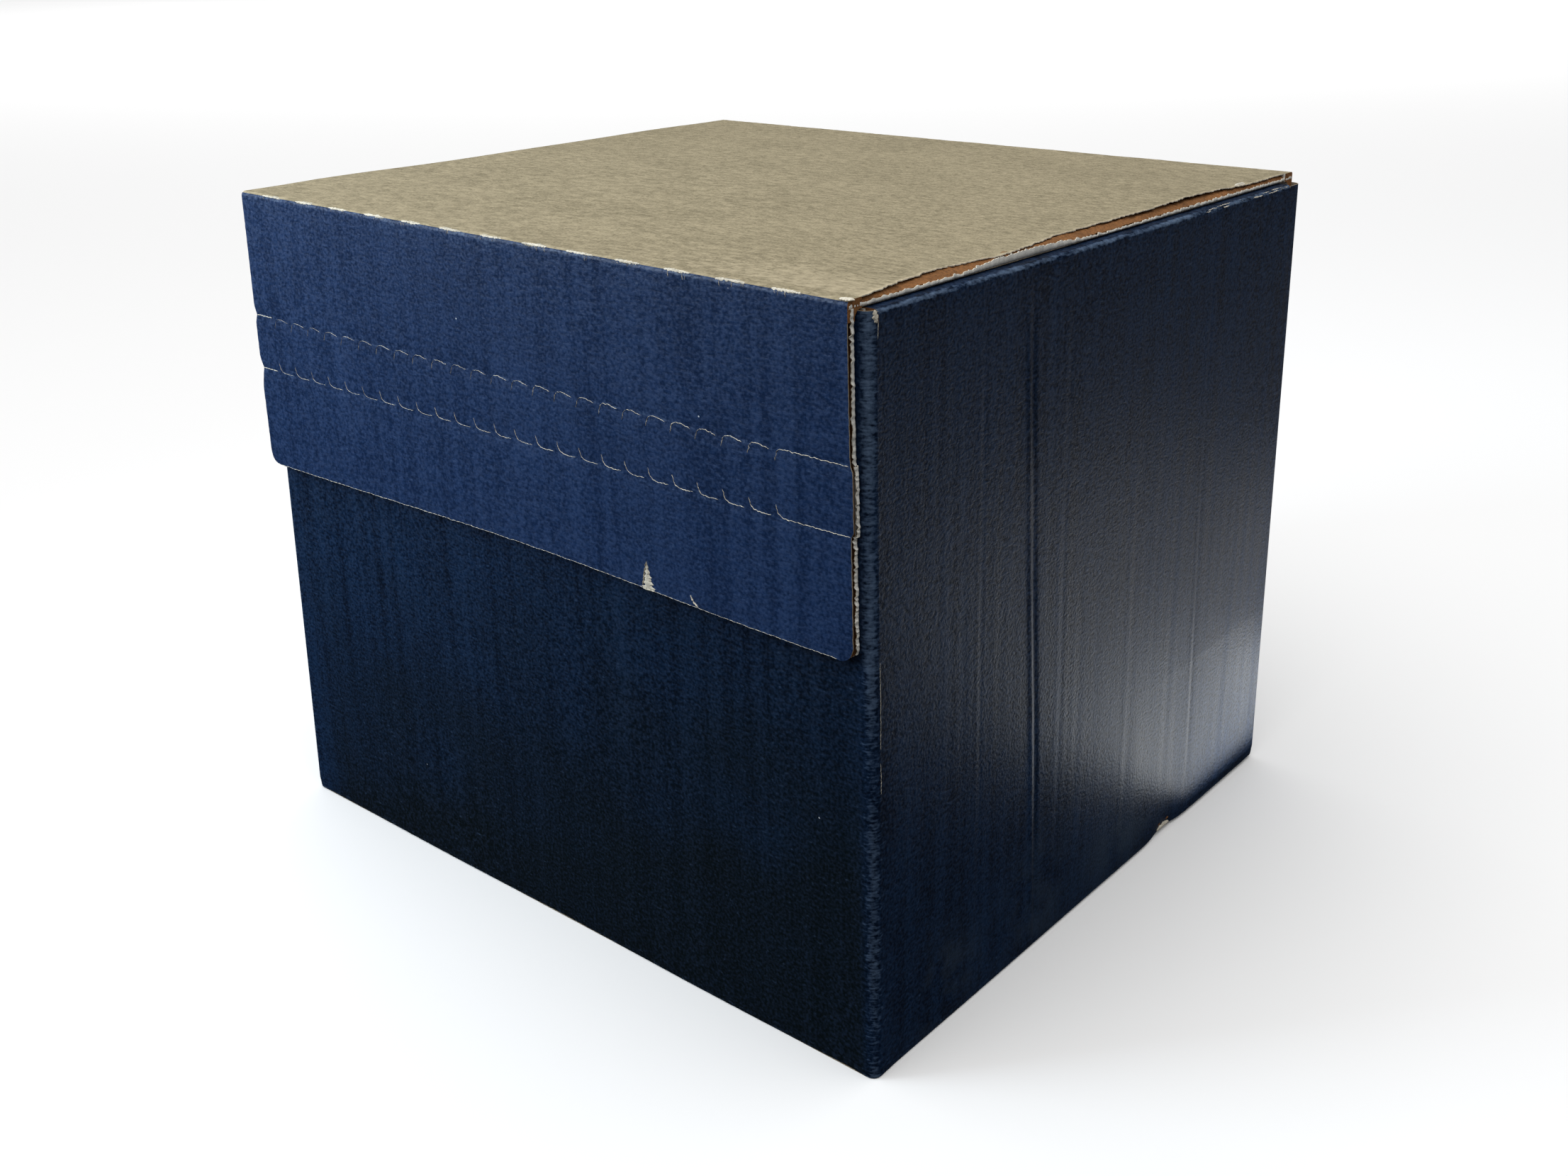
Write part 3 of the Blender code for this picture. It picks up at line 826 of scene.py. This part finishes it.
def build_folds():
    """The lid's two long folds, which open wide, and the two short ones of the dust flaps."""
    inside = 0.3
    for name, y, way, ink, other, wear, radius in (
            ("lid_back_fold", BACK, -1, NAVY, "box_body", 0.25, FOLD_RADIUS / 2),
            ("lid_front_fold", FLAP_FRONT, 1, NAVY_LIT_FLAP, "upper_band", 0.3, FOLD_RADIUS)):
        fold = Fold((0, y, TOP), ((0, way, 0), (0, 0, -1)), (1, 0, 0), (LID_LEFT, LID_RIGHT),
                    (KRAFT, ink, WHITE, BROWN), wear)
        build_open_fold(name, fold, ("lid", other), ("kraft_liner", "navy_printed_liner"), radius)
    for side, x, way in (("right", RIGHT, -1), ("left", LEFT, 1)):
        low, high = box_mm(f"{side}_dust_flap_outer_liner")
        span = (low[1] + inside, high[1] - inside)
        fold = Fold((x, 0, WALL_TOP), ((0, 0, -1), (way, 0, 0)), (0, 1, 0), span,
                    (NAVY, NAVY, WHITE, BROWN), 0.75, 0.45)
        bodies = ("box_body", f"{side}_dust_flap")
        build_bent_fold(f"{side}_dust_flap_fold", fold, bodies, "navy_printed_liner")


# ---------------------------------------------------------------- lid


def lid_bare_width(v):
    """How far the kraft liner is torn back from the lid's right edge, by depth from the front."""
    share = v / LID_DEPTH
    points = ((0.0, 0.1), (0.04, 0.5), (0.10, 2.3), (0.17, 4.6), (0.23, 3.2), (0.28, 1.4), (0.33, 2.2),
              (0.41, 4.5), (0.48, 3.6), (0.54, 3.0), (0.61, 2.2), (0.71, 2.9), (0.80, 2.2), (0.86, 0.8),
              (0.93, 0.9), (1.0, 0.2))
    width = np.interp(share, *zip(*points))
    fray = 0.22 * ripple_line(v, 1.9, 81) + 0.28 * ripple_line(v, 9, 82)
    return np.clip(width + fray * np.clip(width, 0.2, 1), 0.05, None)


def build_lid():
    """Kraft skin torn back at the right, over flutes bared there and the lining curled up round them."""
    v = stations(FOLD_REACH, LID_DEPTH - FOLD_REACH, 0.6)
    u = stations(0, 1, 1 / 200)
    share, v = np.meshgrid(u, v, indexing="ij")
    right = LID_WIDTH - 0.1 - lid_bare_width(v)
    u = share * right + 0.05 * ripple_line(v, 3, 83) * (1 - share) ** 30
    lift = 0.2 * bell(u, right, 2.5) * clamp(lid_bare_width(v) / 3)
    ends = clamp(np.minimum(v, LID_DEPTH - v) / 25 - FOLD_REACH / 25)
    swell = ends * (0.25 * ripple(u, v, 130, 84) + 0.5 * bell(u, LID_WIDTH / 2, 90))
    n = ends * washboard(u, v, 85) + swell + lift
    # The first term is fresh fibre along the torn edge; the second is a painted pool of light, the lid paler
    # towards its front right.
    wear = 0.8 * bell(u, right, 0.8) + 0.5 * bell(v, 0, 32) * bell(u, LID_WIDTH, 90)
    thick_sheet("lid_kraft", LID(u, v, n), LID(u, v, n - LINER), (KRAFT, BROWN, FIBRE), "lid", "kraft_liner",
                ("lid_outer_liner",), {"wear": clamp(wear)})

    medium("lid", LID, TRIM, LID_WIDTH - 6, FOLD_REACH, LID_DEPTH - FOLD_REACH, "lid")
    inner_liner("lid", LID, 0, LID_WIDTH - 0.6, FOLD_REACH, LID_DEPTH - FOLD_REACH, "lid", 86)

    v = stations(0.6, LID_DEPTH - 0.6, 0.4)
    s, v = np.meshgrid(np.linspace(0, 1, 9), v, indexing="ij")
    bare = lid_bare_width(v)
    u = LID_WIDTH - 0.35 - (bare + 1.6) * (1 - s)
    n = -LINER - 0.15 - 1.3 * s ** 1.6 - 0.16 * ripple(u * 2, v, 6, 87) - 0.06 * ripple(u, v, 1.4, 96)
    thick_sheet("lid_edge_bared_medium", LID(u, v, n), LID(u, v, n - MEDIUM), (BROWN, BROWN, BROWN), "lid",
                "brown_fluted_medium")

    v = v[0]
    curl = ((0, 1.5), (0.05, 1.4), (0.2, 1.4), (0.26, 2.6), (0.34, 2.7), (0.40, 2.1), (0.44, 1.3),
            (0.52, 1.0), (0.7, 1.4), (1.0, 1.3))
    rise = np.interp(v / LID_DEPTH, *zip(*curl)) + 0.16 * ripple_line(v, 2.5, 88)
    curled_liner("lid_edge_curled_lining", LID, LID_WIDTH + 0 * v, v, rise, "lid", 89)


def curled_liner(name, surface, edge, v, rise, body, seed):
    """Inner liner bent up round a roughly cut side of the board, with a ragged upper edge."""
    s = np.linspace(0, 1, 7)[:, None]
    fuzz = 0.22 * ripple_line(v, 1.5, seed) + 0.18 * ripple_line(v, 4, seed + 1)
    u = edge[None, :] - 1.2 * (1 - s) ** 3 + (0.7 * s * (1 - s) + fuzz[None, :] * s)
    torn = rise + 0.16 * ripple_line(v, 1.7, seed + 2)
    n = -BOARD + torn[None, :] * s ** 1.3
    v = np.repeat(v[None, :], len(s), 0)
    outside = surface(u, v, n)
    inside = surface(u - LINER * 0.9 * s ** 0.3, v, n + LINER * (1 - s))
    thick_sheet(name, inside, outside, (WHITE, WHITE, FIBRE), body, "white_inner_liner")


# ---------------------------------------------------------------- front flap


def hook_line(height, leg):
    """Tear line with one hook for each cut, as a function of u."""
    points = [(0.0, height)]
    for index in range(HOOK_COUNT):
        u = HOOK_START + index * HOOK_PITCH
        points += [(u - HOOK_RETURN, height), (u, height + leg), (u + 0.45 * HOOK_BEND, height + 0.3 * leg),
                   (u + HOOK_BEND, height)]
    return points + [(LID_WIDTH, height)]


UPPER_LINE = hook_line(UPPER_TEAR, -HOOK_LEG)
LOWER_LINE = hook_line(LOWER_TEAR, HOOK_LEG)
FLAP_CORNER = 5.0


def flap_bottom(u):
    """Cut lower edge of the flap: slightly bowed, with rounded corners; its two small tears are drawn in
    build_tears.
    """
    side = np.minimum(u, LID_WIDTH - u)
    corner = clamp(1 - side / FLAP_CORNER)
    bow = 2.2 * bell(u, LID_WIDTH * 0.5, LID_WIDTH * 0.33)
    return FLAP_BOTTOM + bow + FLAP_CORNER * (1 - np.sqrt(1 - corner ** 2)) + 0.1 * ripple_line(u, 5, 91)


def flap_lean(u, v):
    """The flap stands a little proud of the wall at its top and lies closer further down."""
    drop = clamp((TOP - v) / (TOP - FLAP_BOTTOM))
    return -1.0 * drop - 0.25 * ripple(u, v, 130, 92) * drop


def flap_relief(u, v):
    groove = 0.16 * (bell(v, UPPER_TEAR, 1.6) + bell(v, LOWER_TEAR, 1.6))
    return flap_lean(u, v) + washboard(u, v, 93) - groove


def left_edge(v):
    """Notches where the tear strip's end was cut, on the flap's left side."""
    upper = 0.9 * bell(v, UPPER_TEAR, 2.2)
    lower = 1.6 * clamp(1 - np.abs(v - LOWER_TEAR) / np.where(v > LOWER_TEAR, 4.0, 7.5))
    return upper + lower + 0.06 * ripple_line(v, 3, 94)


def right_edge(v):
    return -0.25 + 0.9 * ((v < UPPER_TEAR) & (v > LOWER_TEAR)) + 0.06 * ripple_line(v, 3, 95)


def flap_sides(u, v, reach=6.0):
    """Moves the end columns of the flap onto its notched side edges."""
    near = clamp(1 - u / reach)
    far = clamp(1 - (LID_WIDTH - u) / reach)
    return u + near * left_edge(v) + far * right_edge(v)


def flap_band(name, low, high, body):
    key = [x for x, _ in UPPER_LINE + LOWER_LINE]
    for x in np.linspace(0.02, FLAP_CORNER, 10):
        key += [x, LID_WIDTH - x]
    columns = stations(0, LID_WIDTH, COLUMN, key)
    u, v = panel_grid(columns, low, high, FINE_ROW)
    wear = 0.5 * bell(v, UPPER_TEAR, 1.4) + 0.5 * bell(v, LOWER_TEAR, 1.4)
    wear = wear + 0.35 * bell(v, v[:, :1], 0.8) * (name == "flap_closure_band")
    grid = (flap_sides(u, v), v)
    liner(f"{name}_print", FLAP, grid, 0.0, flap_relief, (NAVY_LIT_FLAP, CUT_EDGE, CUT_EDGE), body,
          "navy_printed_liner", (f"{name}_outer_liner",), {"wear": clamp(wear * 0.5)})

    inset = 0.15
    columns = stations(2 * inset, LID_WIDTH - 0.5, FLUTE_COLUMN, key)
    u, v = panel_grid(columns, trimmed(low, inset), trimmed(high, -inset), FLAP_ROW)
    u = flap_sides(u, v)
    flutes(name, FLAP, u, v, flap_lean(u, v), body)
    u, v = panel_grid(stations(0.1, LID_WIDTH - 0.3, COLUMN, key), low, high, FLAP_ROW)
    liner(f"{name}_lining", FLAP, (flap_sides(u, v), v), BOARD - LINER, flap_lean, (WHITE, WHITE, CUT_EDGE),
          body, "white_inner_liner", (f"{name}_inner_liner",))


def leaning_flap(u, v, n):
    return FLAP(u, v, n + flap_lean(u, v))


def build_flap():
    """The three bands of the front flap, and the lining turned up at the flap's right side."""
    upper = polyline(*UPPER_LINE)
    lower = polyline(*LOWER_LINE)
    flap_band("flap_upper_band", upper, TOP - FOLD_REACH, "upper_band")
    flap_band("tear_strip", lower, upper, "tear_strip")
    flap_band("flap_closure_band", flap_bottom, lower, "box_body")

    spans = (("flap_upper_band", UPPER_TEAR + 0.1, TOP - 2.5, "upper_band"),
             ("tear_strip", LOWER_TEAR + 0.1, UPPER_TEAR - 0.1, "tear_strip"),
             ("flap_closure_band", FLAP_BOTTOM + 2.5, LOWER_TEAR - 0.1, "box_body"))
    for seed, (name, bottom, top, body) in enumerate(spans):
        v = stations(bottom, top, 0.4)
        tight = clamp((v - FLAP_BOTTOM) / 5)
        edge = LID_WIDTH + right_edge(v) - 1.6 * (1 - tight) ** 2 + 0.35
        rise = (1.9 + 0.12 * ripple_line(v, 3, 97 + seed)) * (0.5 + 0.5 * tight)
        curled_liner(f"{name}_side_lining", leaning_flap, edge, v, rise, body, 101 + seed)


# ---------------------------------------------------------------- cuts, tears and fibres


class Fibres:
    """Collects thin raised ridges of torn paper fibre into one mesh."""

    def __init__(self, surface):
        self.surface = surface
        self.points = []
        self.faces = []

    def count(self):
        return sum(len(p) for p in self.points)

    def ridge(self, path, width, height, seed, wobble=0.06, base=0.08):
        """Closed three-sided ridge along a path of (u, v) points."""
        path = np.array(path, float)
        run = distance_along(path)
        t = np.linspace(0, run[-1], max(3, int(run[-1] / 0.35)))
        line = np.stack([np.interp(t, run, path[:, k]) for k in (0, 1)], 1)
        way = np.gradient(line, axis=0)
        way /= np.linalg.norm(way, axis=1, keepdims=True) + 1e-9
        side = np.stack([-way[:, 1], way[:, 0]], 1)
        line = line + side * (wobble * ripple_line(t, 1.7, seed))[:, None]
        ends = clamp(np.minimum(t, run[-1] - t) / 0.8 + 0.25)
        size = np.clip(width / 2 * ends * (1 + 0.4 * ripple_line(t, 1.3, seed + 1)), 0.05, None)
        rise = height * ends * (1 + 0.4 * ripple_line(t, 1.1, seed + 2))
        start = self.count()
        for offset, level in ((-size, -base + 0 * t), (0 * t, rise), (size, -base + 0 * t)):
            spot = line + side * offset[:, None]
            self.points.append(self.surface(spot[:, 0], spot[:, 1], level))
        row = len(t)
        for k in range(3):
            here, there = start + k * row, start + (k + 1) % 3 * row
            for i in range(row - 1):
                self.faces.append([here + i, here + i + 1, there + i + 1, there + i])
        self.faces.append([start + k * row for k in (0, 1, 2)])
        self.faces.append([start + k * row + row - 1 for k in (2, 1, 0)])

    def patch(self, centre, length, height, seed, angle=0.0, raised=0.12, spike=False):
        """Ragged lens or spike of bare paper lying on the surface."""
        steps, rows = max(8, int(length / 0.4)), 5
        s = np.linspace(-1, 1, steps)[:, None]
        r = np.linspace(-1, 1, rows)[None, :]
        outline = (1 - s) / 2 if spike else clamp(1 - s ** 2) ** 0.35
        half = height / 2 * np.clip(outline, 0.06, 1)
        fray = 1 + 0.38 * ripple(s * length, 0 * s, 1.3, seed)
        a = s * length / 2 + 0 * r
        b = half * r * fray + 0.08 * ripple(a, 5 * r, 1.4, seed + 1)
        u = centre[0] + a * math.cos(angle) - b * math.sin(angle)
        v = centre[1] + a * math.sin(angle) + b * math.cos(angle)
        n = raised * (1 - r ** 2) * clamp(1.2 - s ** 2) + 0.03 + 0.03 * ripple(u, v, 1.2, seed + 2)
        start = self.count()
        self.points.append(self.surface(u, v, n).reshape(-1, 3))
        self.points.append(self.surface(u, v, n * 0 - 0.12).reshape(-1, 3))
        self.faces += grid_faces(steps, rows, start).tolist()
        self.faces += grid_faces(steps, rows, start + steps * rows)[:, ::-1].tolist()
        self.faces += rim_faces(steps, rows, start).tolist()

    def make(self, name, body, slot, blend=None):
        add_piece(name, np.concatenate(self.points), self.faces, [0] * len(self.faces), (FIBRE,), body,
                  blend=blend, smooth=False)


def on_flap(u, v, n):
    return FLAP(u, v, n + flap_relief(u, v))


def build_perforations():
    """Cut lines of the tear strip: a straight start, hooks, and a straight end in each row."""
    rows = (("upper_tear_cuts", UPPER_TEAR, -HOOK_LEG, "upper_band", 2.0, -0.7, 0.12),
            ("lower_tear_cuts", LOWER_TEAR, HOOK_LEG, "box_body", 2.6, 0.0, -0.1))
    for row, (name, height, leg, body, bend, droop, step) in enumerate(rows):
        cuts = Fibres(on_flap)
        cuts.ridge([(1.2, height), (HOOK_START - 1.6, height)], 0.42, 0.14, 200 + row)
        for index in range(HOOK_COUNT):
            u = HOOK_START + index * HOOK_PITCH
            rough = index / HOOK_COUNT
            curve = [(u, height + leg)]
            for turn in np.linspace(0, math.pi / 2, 6):
                across = u + 0.5 + bend * (1 - math.cos(turn))
                curve.append((across, height + leg * 0.55 * (1 - math.sin(turn))))
            curve.append((u + HOOK_BEND + 1.2, height + step))
            last = index == HOOK_COUNT - 1
            curve.append((LID_WIDTH - 0.6, height) if last else (u + HOOK_CUT, height + droop))
            width = 0.15 + 0.13 * rough + 0.05 * math.sin(index * 2.3)
            cuts.ridge(curve, width, 0.09 + 0.08 * rough, 210 + index * 3 + row * 97, 0.05 + 0.07 * rough)
        cuts.make(name, body, "white_inner_liner")


def build_crease_slots():
    """Cut slots along the fold of lid and flap, each opened into a lens of pale fibre."""
    def over_fold(u, v, n):
        """v runs over the rounded fold: below zero on the flap, above zero on the lid."""
        turn = clamp((v / FOLD_RADIUS + math.pi / 4) / (math.pi / 2)) * math.pi / 2
        arc = v * 0 + FOLD_RADIUS
        y = FLAP_FRONT + arc - (arc + n) * np.cos(turn)
        z = TOP - arc + (arc + n) * np.sin(turn)
        beyond = np.clip(np.abs(v) - FOLD_RADIUS * math.pi / 4, 0, None)
        y = y + np.where(v > 0, beyond, 0)
        z = z - np.where(v < 0, beyond, 0)
        return np.stack([LID_LEFT + u, y, z], -1)

    slots = Fibres(over_fold)
    draw = np.random.default_rng(7)
    for index in range(SLOT_COUNT):
        middle = SLOT_START + index * SLOT_PITCH + SLOT_LENGTH / 2
        rough = index / SLOT_COUNT
        length = SLOT_LENGTH * draw.uniform(0.9, 1.05)
        slots.patch((middle, 0.1), length, 0.75 + 0.25 * rough, 300 + index * 5, raised=0.13)
        for strand in range(5):
            start = middle + draw.uniform(-0.5, 0.25) * length
            end = start + draw.uniform(0.2, 0.45) * length
            level = draw.uniform(-0.5, 0.75)
            slots.ridge([(start, level), (end, level + draw.uniform(-0.25, 0.25))], 0.2, 0.2,
                        500 + index * 11 + strand)
        for strand in range(int(1 + 4 * rough)):
            start = middle + draw.uniform(-0.5, 0.5) * length
            drop = draw.uniform(0.4, 0.8 + 1.4 * rough)
            slots.ridge([(start, -0.3), (start + draw.uniform(-0.5, 0.5), -0.5 - drop)], 0.16, 0.18,
                        700 + index * 13 + strand)
    near, far = in_metres((0, FLAP_FRONT + FOLD_BEND, TOP)), in_metres((0, FLAP_FRONT, TOP - FOLD_BEND))
    slots.make("crease_slot_fibres", "lid", "kraft_liner", ("lid", "upper_band", near, far))


def build_dust_flap_fibres():
    """Pale fibres rubbed out of the right dust flap's fold, mostly towards the back."""
    def over_fold(y, turn, n):
        reach = FOLD_RADIUS + n
        return np.stack([RIGHT - FOLD_RADIUS + reach * np.cos(turn), y,
                         WALL_TOP - FOLD_RADIUS + reach * np.sin(turn)], -1)

    rubbed = Fibres(over_fold)
    draw = np.random.default_rng(11)
    low, high = box_mm("right_dust_flap_outer_liner")
    for k in range(26):
        start = high[1] - 4 - 85 * draw.uniform(0, 1) ** 1.6
        end = min(start + draw.uniform(2.0, 8.0), high[1] - 1)
        turn = draw.uniform(0.5, 1.25)
        rubbed.ridge([(start, turn), ((start + end) / 2, turn + draw.uniform(-0.1, 0.1)), (end, turn)],
                     draw.uniform(0.1, 0.22), 0.05, 450 + k, 0.04, 0.04)
    middle = (low[1] + high[1]) / 2
    near = in_metres((RIGHT, middle, WALL_TOP - FOLD_BEND))
    far = in_metres((RIGHT - FOLD_BEND, middle, WALL_TOP))
    rubbed.make("right_dust_flap_fold_fibres", "box_body", "kraft_liner",
                ("box_body", "right_dust_flap", near, far))


def on_skin(u, v, n):
    return SKIN(u, v, n + wall_relief(u, v))


def build_tears():
    """Small damage: two tears in the flap's lower edge, cracks in the front fold, a bite at the foot."""
    torn = Fibres(on_flap)
    tear, crack = 201.0, 219.3
    foot = float(flap_bottom(np.array([tear]))[0])
    torn.patch((tear - 0.6, foot + 4.3), 9.0, 5.2, 401, math.pi / 2 + 0.04, 0.4, spike=True)
    torn.ridge([(tear - 2.8, foot + 0.2), (tear + 2.2, foot + 0.1)], 0.7, 0.3, 403)
    torn.ridge([(tear - 2.7, foot + 1.0), (tear - 2.0, foot + 4.5), (tear - 0.8, foot + 9.2)], 0.3, 0.5, 404)
    torn.ridge([(crack - 1.0, foot + 3.0), (crack, foot + 1.4), (crack + 2.2, foot - 0.3)], 0.55, 0.3, 405)
    edge = stations(6, LID_WIDTH - 6, 2.5)
    for k, (a, b) in enumerate(zip(edge, edge[1:])):
        ends = flap_bottom(np.array([a, b])) + 0.12
        torn.ridge([(a, ends[0]), (b, ends[1])], 0.22, 0.07, 410 + k, 0.05, 0.03)
    torn.make("closure_band_torn_fibres", "box_body", "kraft_liner")

    cracks = Fibres(on_skin)
    fold = FRONT_FOLD[1]
    for k, (bottom, top) in enumerate(((110, 137), (96, 106), (229, 236))):
        cracks.ridge([(fold + 0.2, bottom), (fold + 0.35, (bottom + top) / 2), (fold + 0.1, top)], 0.25, 0.1,
                     430 + k, 0.08)
    cracks.patch((fold - 0.6, WALL_TOP - 1.6), 3.6, 1.7, 440, math.pi / 2 + 0.15, 0.35)
    cracks.patch((right_wall(BITE), 1.3), 9.0, 2.4, 445, 0.0, 0.4)
    cracks.make("wall_torn_fibres", "box_body", "kraft_liner")

    top = Fibres(LID)
    top.patch((LID_WIDTH - 2.2, LID_DEPTH * 0.855), 7.0, 1.8, 450, math.pi / 2, 0.7)
    top.patch((LID_WIDTH - 1.2, 1.4), 4.5, 2.4, 455, 0.2, 0.4)
    top.make("lid_torn_fibres", "lid", "kraft_liner")


# ---------------------------------------------------------------- dust flaps


def build_dust_flaps():
    """Flaps on the side walls, with a slight taper in front and a long one behind."""
    for seed, (side, way) in enumerate((("right", 1.0), ("left", -1.0))):
        low, high = box_mm(f"{side}_dust_flap_outer_liner")
        span, length = high[1] - low[1], high[0] - low[0]
        front_taper, rear_taper = 4.0, 39.5
        first, last = (front_taper, rear_taper) if way > 0 else (rear_taper, front_taper)
        start = (RIGHT, low[1], WALL_TOP) if way > 0 else (LEFT, high[1], WALL_TOP)
        surface = flat(start, (0, way, 0), (-way, 0, 0))

        foot = FOLD_REACH + 0.5
        edge = polyline((0, foot), (first, length), (span - last, length), (span, foot))
        body = f"{side}_dust_flap"
        board(body, surface, 0, span, FOLD_REACH, edge, body, 120 + seed)


# ---------------------------------------------------------------- stage, light and camera


def build_stage():
    """Pale floor that curves up into a backdrop."""
    width, depth, bend, rise = 14.0, 9.0, 2.5, 5.0
    profile = [(-6.0, 0.0), (depth - bend, 0.0)]
    for turn in np.linspace(0, math.pi / 2, 12)[1:]:
        profile.append((depth - bend + bend * math.sin(turn), bend - bend * math.cos(turn)))
    profile.append((depth, rise))
    turn = Matrix.Rotation(CAMERA_AZIMUTH, 3, "Z")
    points = [turn @ Vector((x, y, z - 0.0003)) for x in (-width, width) for y, z in profile]
    mesh = bpy.data.meshes.new("studio_floor")
    mesh.from_pydata([tuple(p) for p in points], [], grid_faces(2, len(profile)).tolist())
    mesh.shade_smooth()
    shade = Shade("studio_floor", 0.9, 0.1)
    shade.surface(Base_Color=(0.86, 0.86, 0.86))
    mesh.materials.append(shade.material)
    floor = new_object("studio_floor", mesh)
    floor.visible_glossy = False
    floor.visible_diffuse = False


def area_light(name, place, target, size, power, colour=(1.0, 1.0, 1.0)):
    data = bpy.data.lights.new(name, "AREA")
    data.shape = "RECTANGLE"
    data.size, data.size_y = size
    data.energy = power
    data.color = colour
    light = new_object(name, data)
    light.location = place
    light.rotation_euler = (Vector(target) - Vector(place)).to_track_quat("-Z", "Y").to_euler()
    light.visible_camera = False
    return light


SKY_LIGHT = 1.15
GROUND_LIGHT = 0.04
ROOM_GLOSS = 0.03
CAMERA_PLACE = (0.3937, -0.4543, 0.3357)
CAMERA_AZIMUTH = math.radians(40.59)
CAMERA_DROP = math.radians(18.23)
CAMERA_ROLL = math.radians(0.99)
CAMERA_LENS = 38.1
CAMERA_SHIFT = (-0.0027, -0.088)


def build_camera():
    """The photograph's viewpoint."""
    data = bpy.data.cameras.new("camera")
    data.sensor_width = 36.0
    data.lens = CAMERA_LENS
    data.shift_x, data.shift_y = CAMERA_SHIFT
    data.clip_start, data.clip_end = 0.02, 60.0
    camera = new_object("camera", data)
    upright = Matrix.Rotation(CAMERA_AZIMUTH, 4, "Z") @ Matrix.Rotation(math.pi / 2 - CAMERA_DROP, 4, "X")
    camera.matrix_world = Matrix.Translation(CAMERA_PLACE) @ upright @ Matrix.Rotation(-CAMERA_ROLL, 4, "Z")
    bpy.context.scene.camera = camera


def build_world():
    """Soft light that fades towards the ground; kept dim in glossy reflections."""
    world = bpy.data.worlds.new("studio")
    world.use_nodes = True
    nodes = Nodes(world.node_tree)
    height = nodes.node("SeparateXYZ", Vector=nodes.node("TexCoord").outputs["Generated"]).outputs["Z"]
    fade = nodes.remap(height, -0.05, 0.80, GROUND_LIGHT, SKY_LIGHT)
    glossy = nodes.node("LightPath").outputs["Is Glossy Ray"]
    background = nodes.tree.nodes["Background"]
    nodes.put(nodes.remap(glossy, 0.0, 1.0, fade, ROOM_GLOSS), background.inputs["Strength"])
    nodes.put((1.0, 1.0, 1.0), background.inputs["Color"])
    bpy.context.scene.world = world


def build_light():
    """Softbox above, a cool window at the left, floor panels behind the box for the right wall's sheen."""
    area_light("overhead_softbox", (0.1, -0.5, 1.7), (0, 0, 0.1), (1.6, 1.6), 12)
    window = area_light("left_window", (-0.42, -0.55, 0.45), (-0.16, -0.13, 0.26), (0.35, 0.35), 0.85,
                        (0.76, 0.89, 1.0))
    window.data.spread = math.radians(75)
    area_light("near_bounce_panel", (0.176, 0.155, 0.004), (0.176, 0.155, 1.0), (0.055, 0.16), 0.095,
               (0.93, 0.97, 1.0))
    area_light("middle_bounce_panel", (0.24, 0.31, 0.004), (0.24, 0.31, 1.0), (0.13, 0.28), 0.15)
    area_light("far_bounce_panel", (0.5, 0.9, 0.004), (0.5, 0.9, 1.0), (0.5, 0.8), 0.25, (1.0, 0.96, 0.90))
    away = Matrix.Rotation(CAMERA_AZIMUTH, 3, "Z") @ Vector((0, 1, 0))
    area_light("backdrop_wash", away * 4 + Vector((0, 0, 3.5)), away * 7 + Vector((0, 0, 0.2)), (4, 2), 110)
    bpy.context.scene.view_settings.view_transform = "Standard"


build_walls()
build_base()
build_glue()
build_folds()
build_lid()
build_flap()
build_dust_flaps()
build_perforations()
build_crease_slots()
build_dust_flap_fibres()
build_tears()
build_stage()
build_camera()
build_world()
build_light()
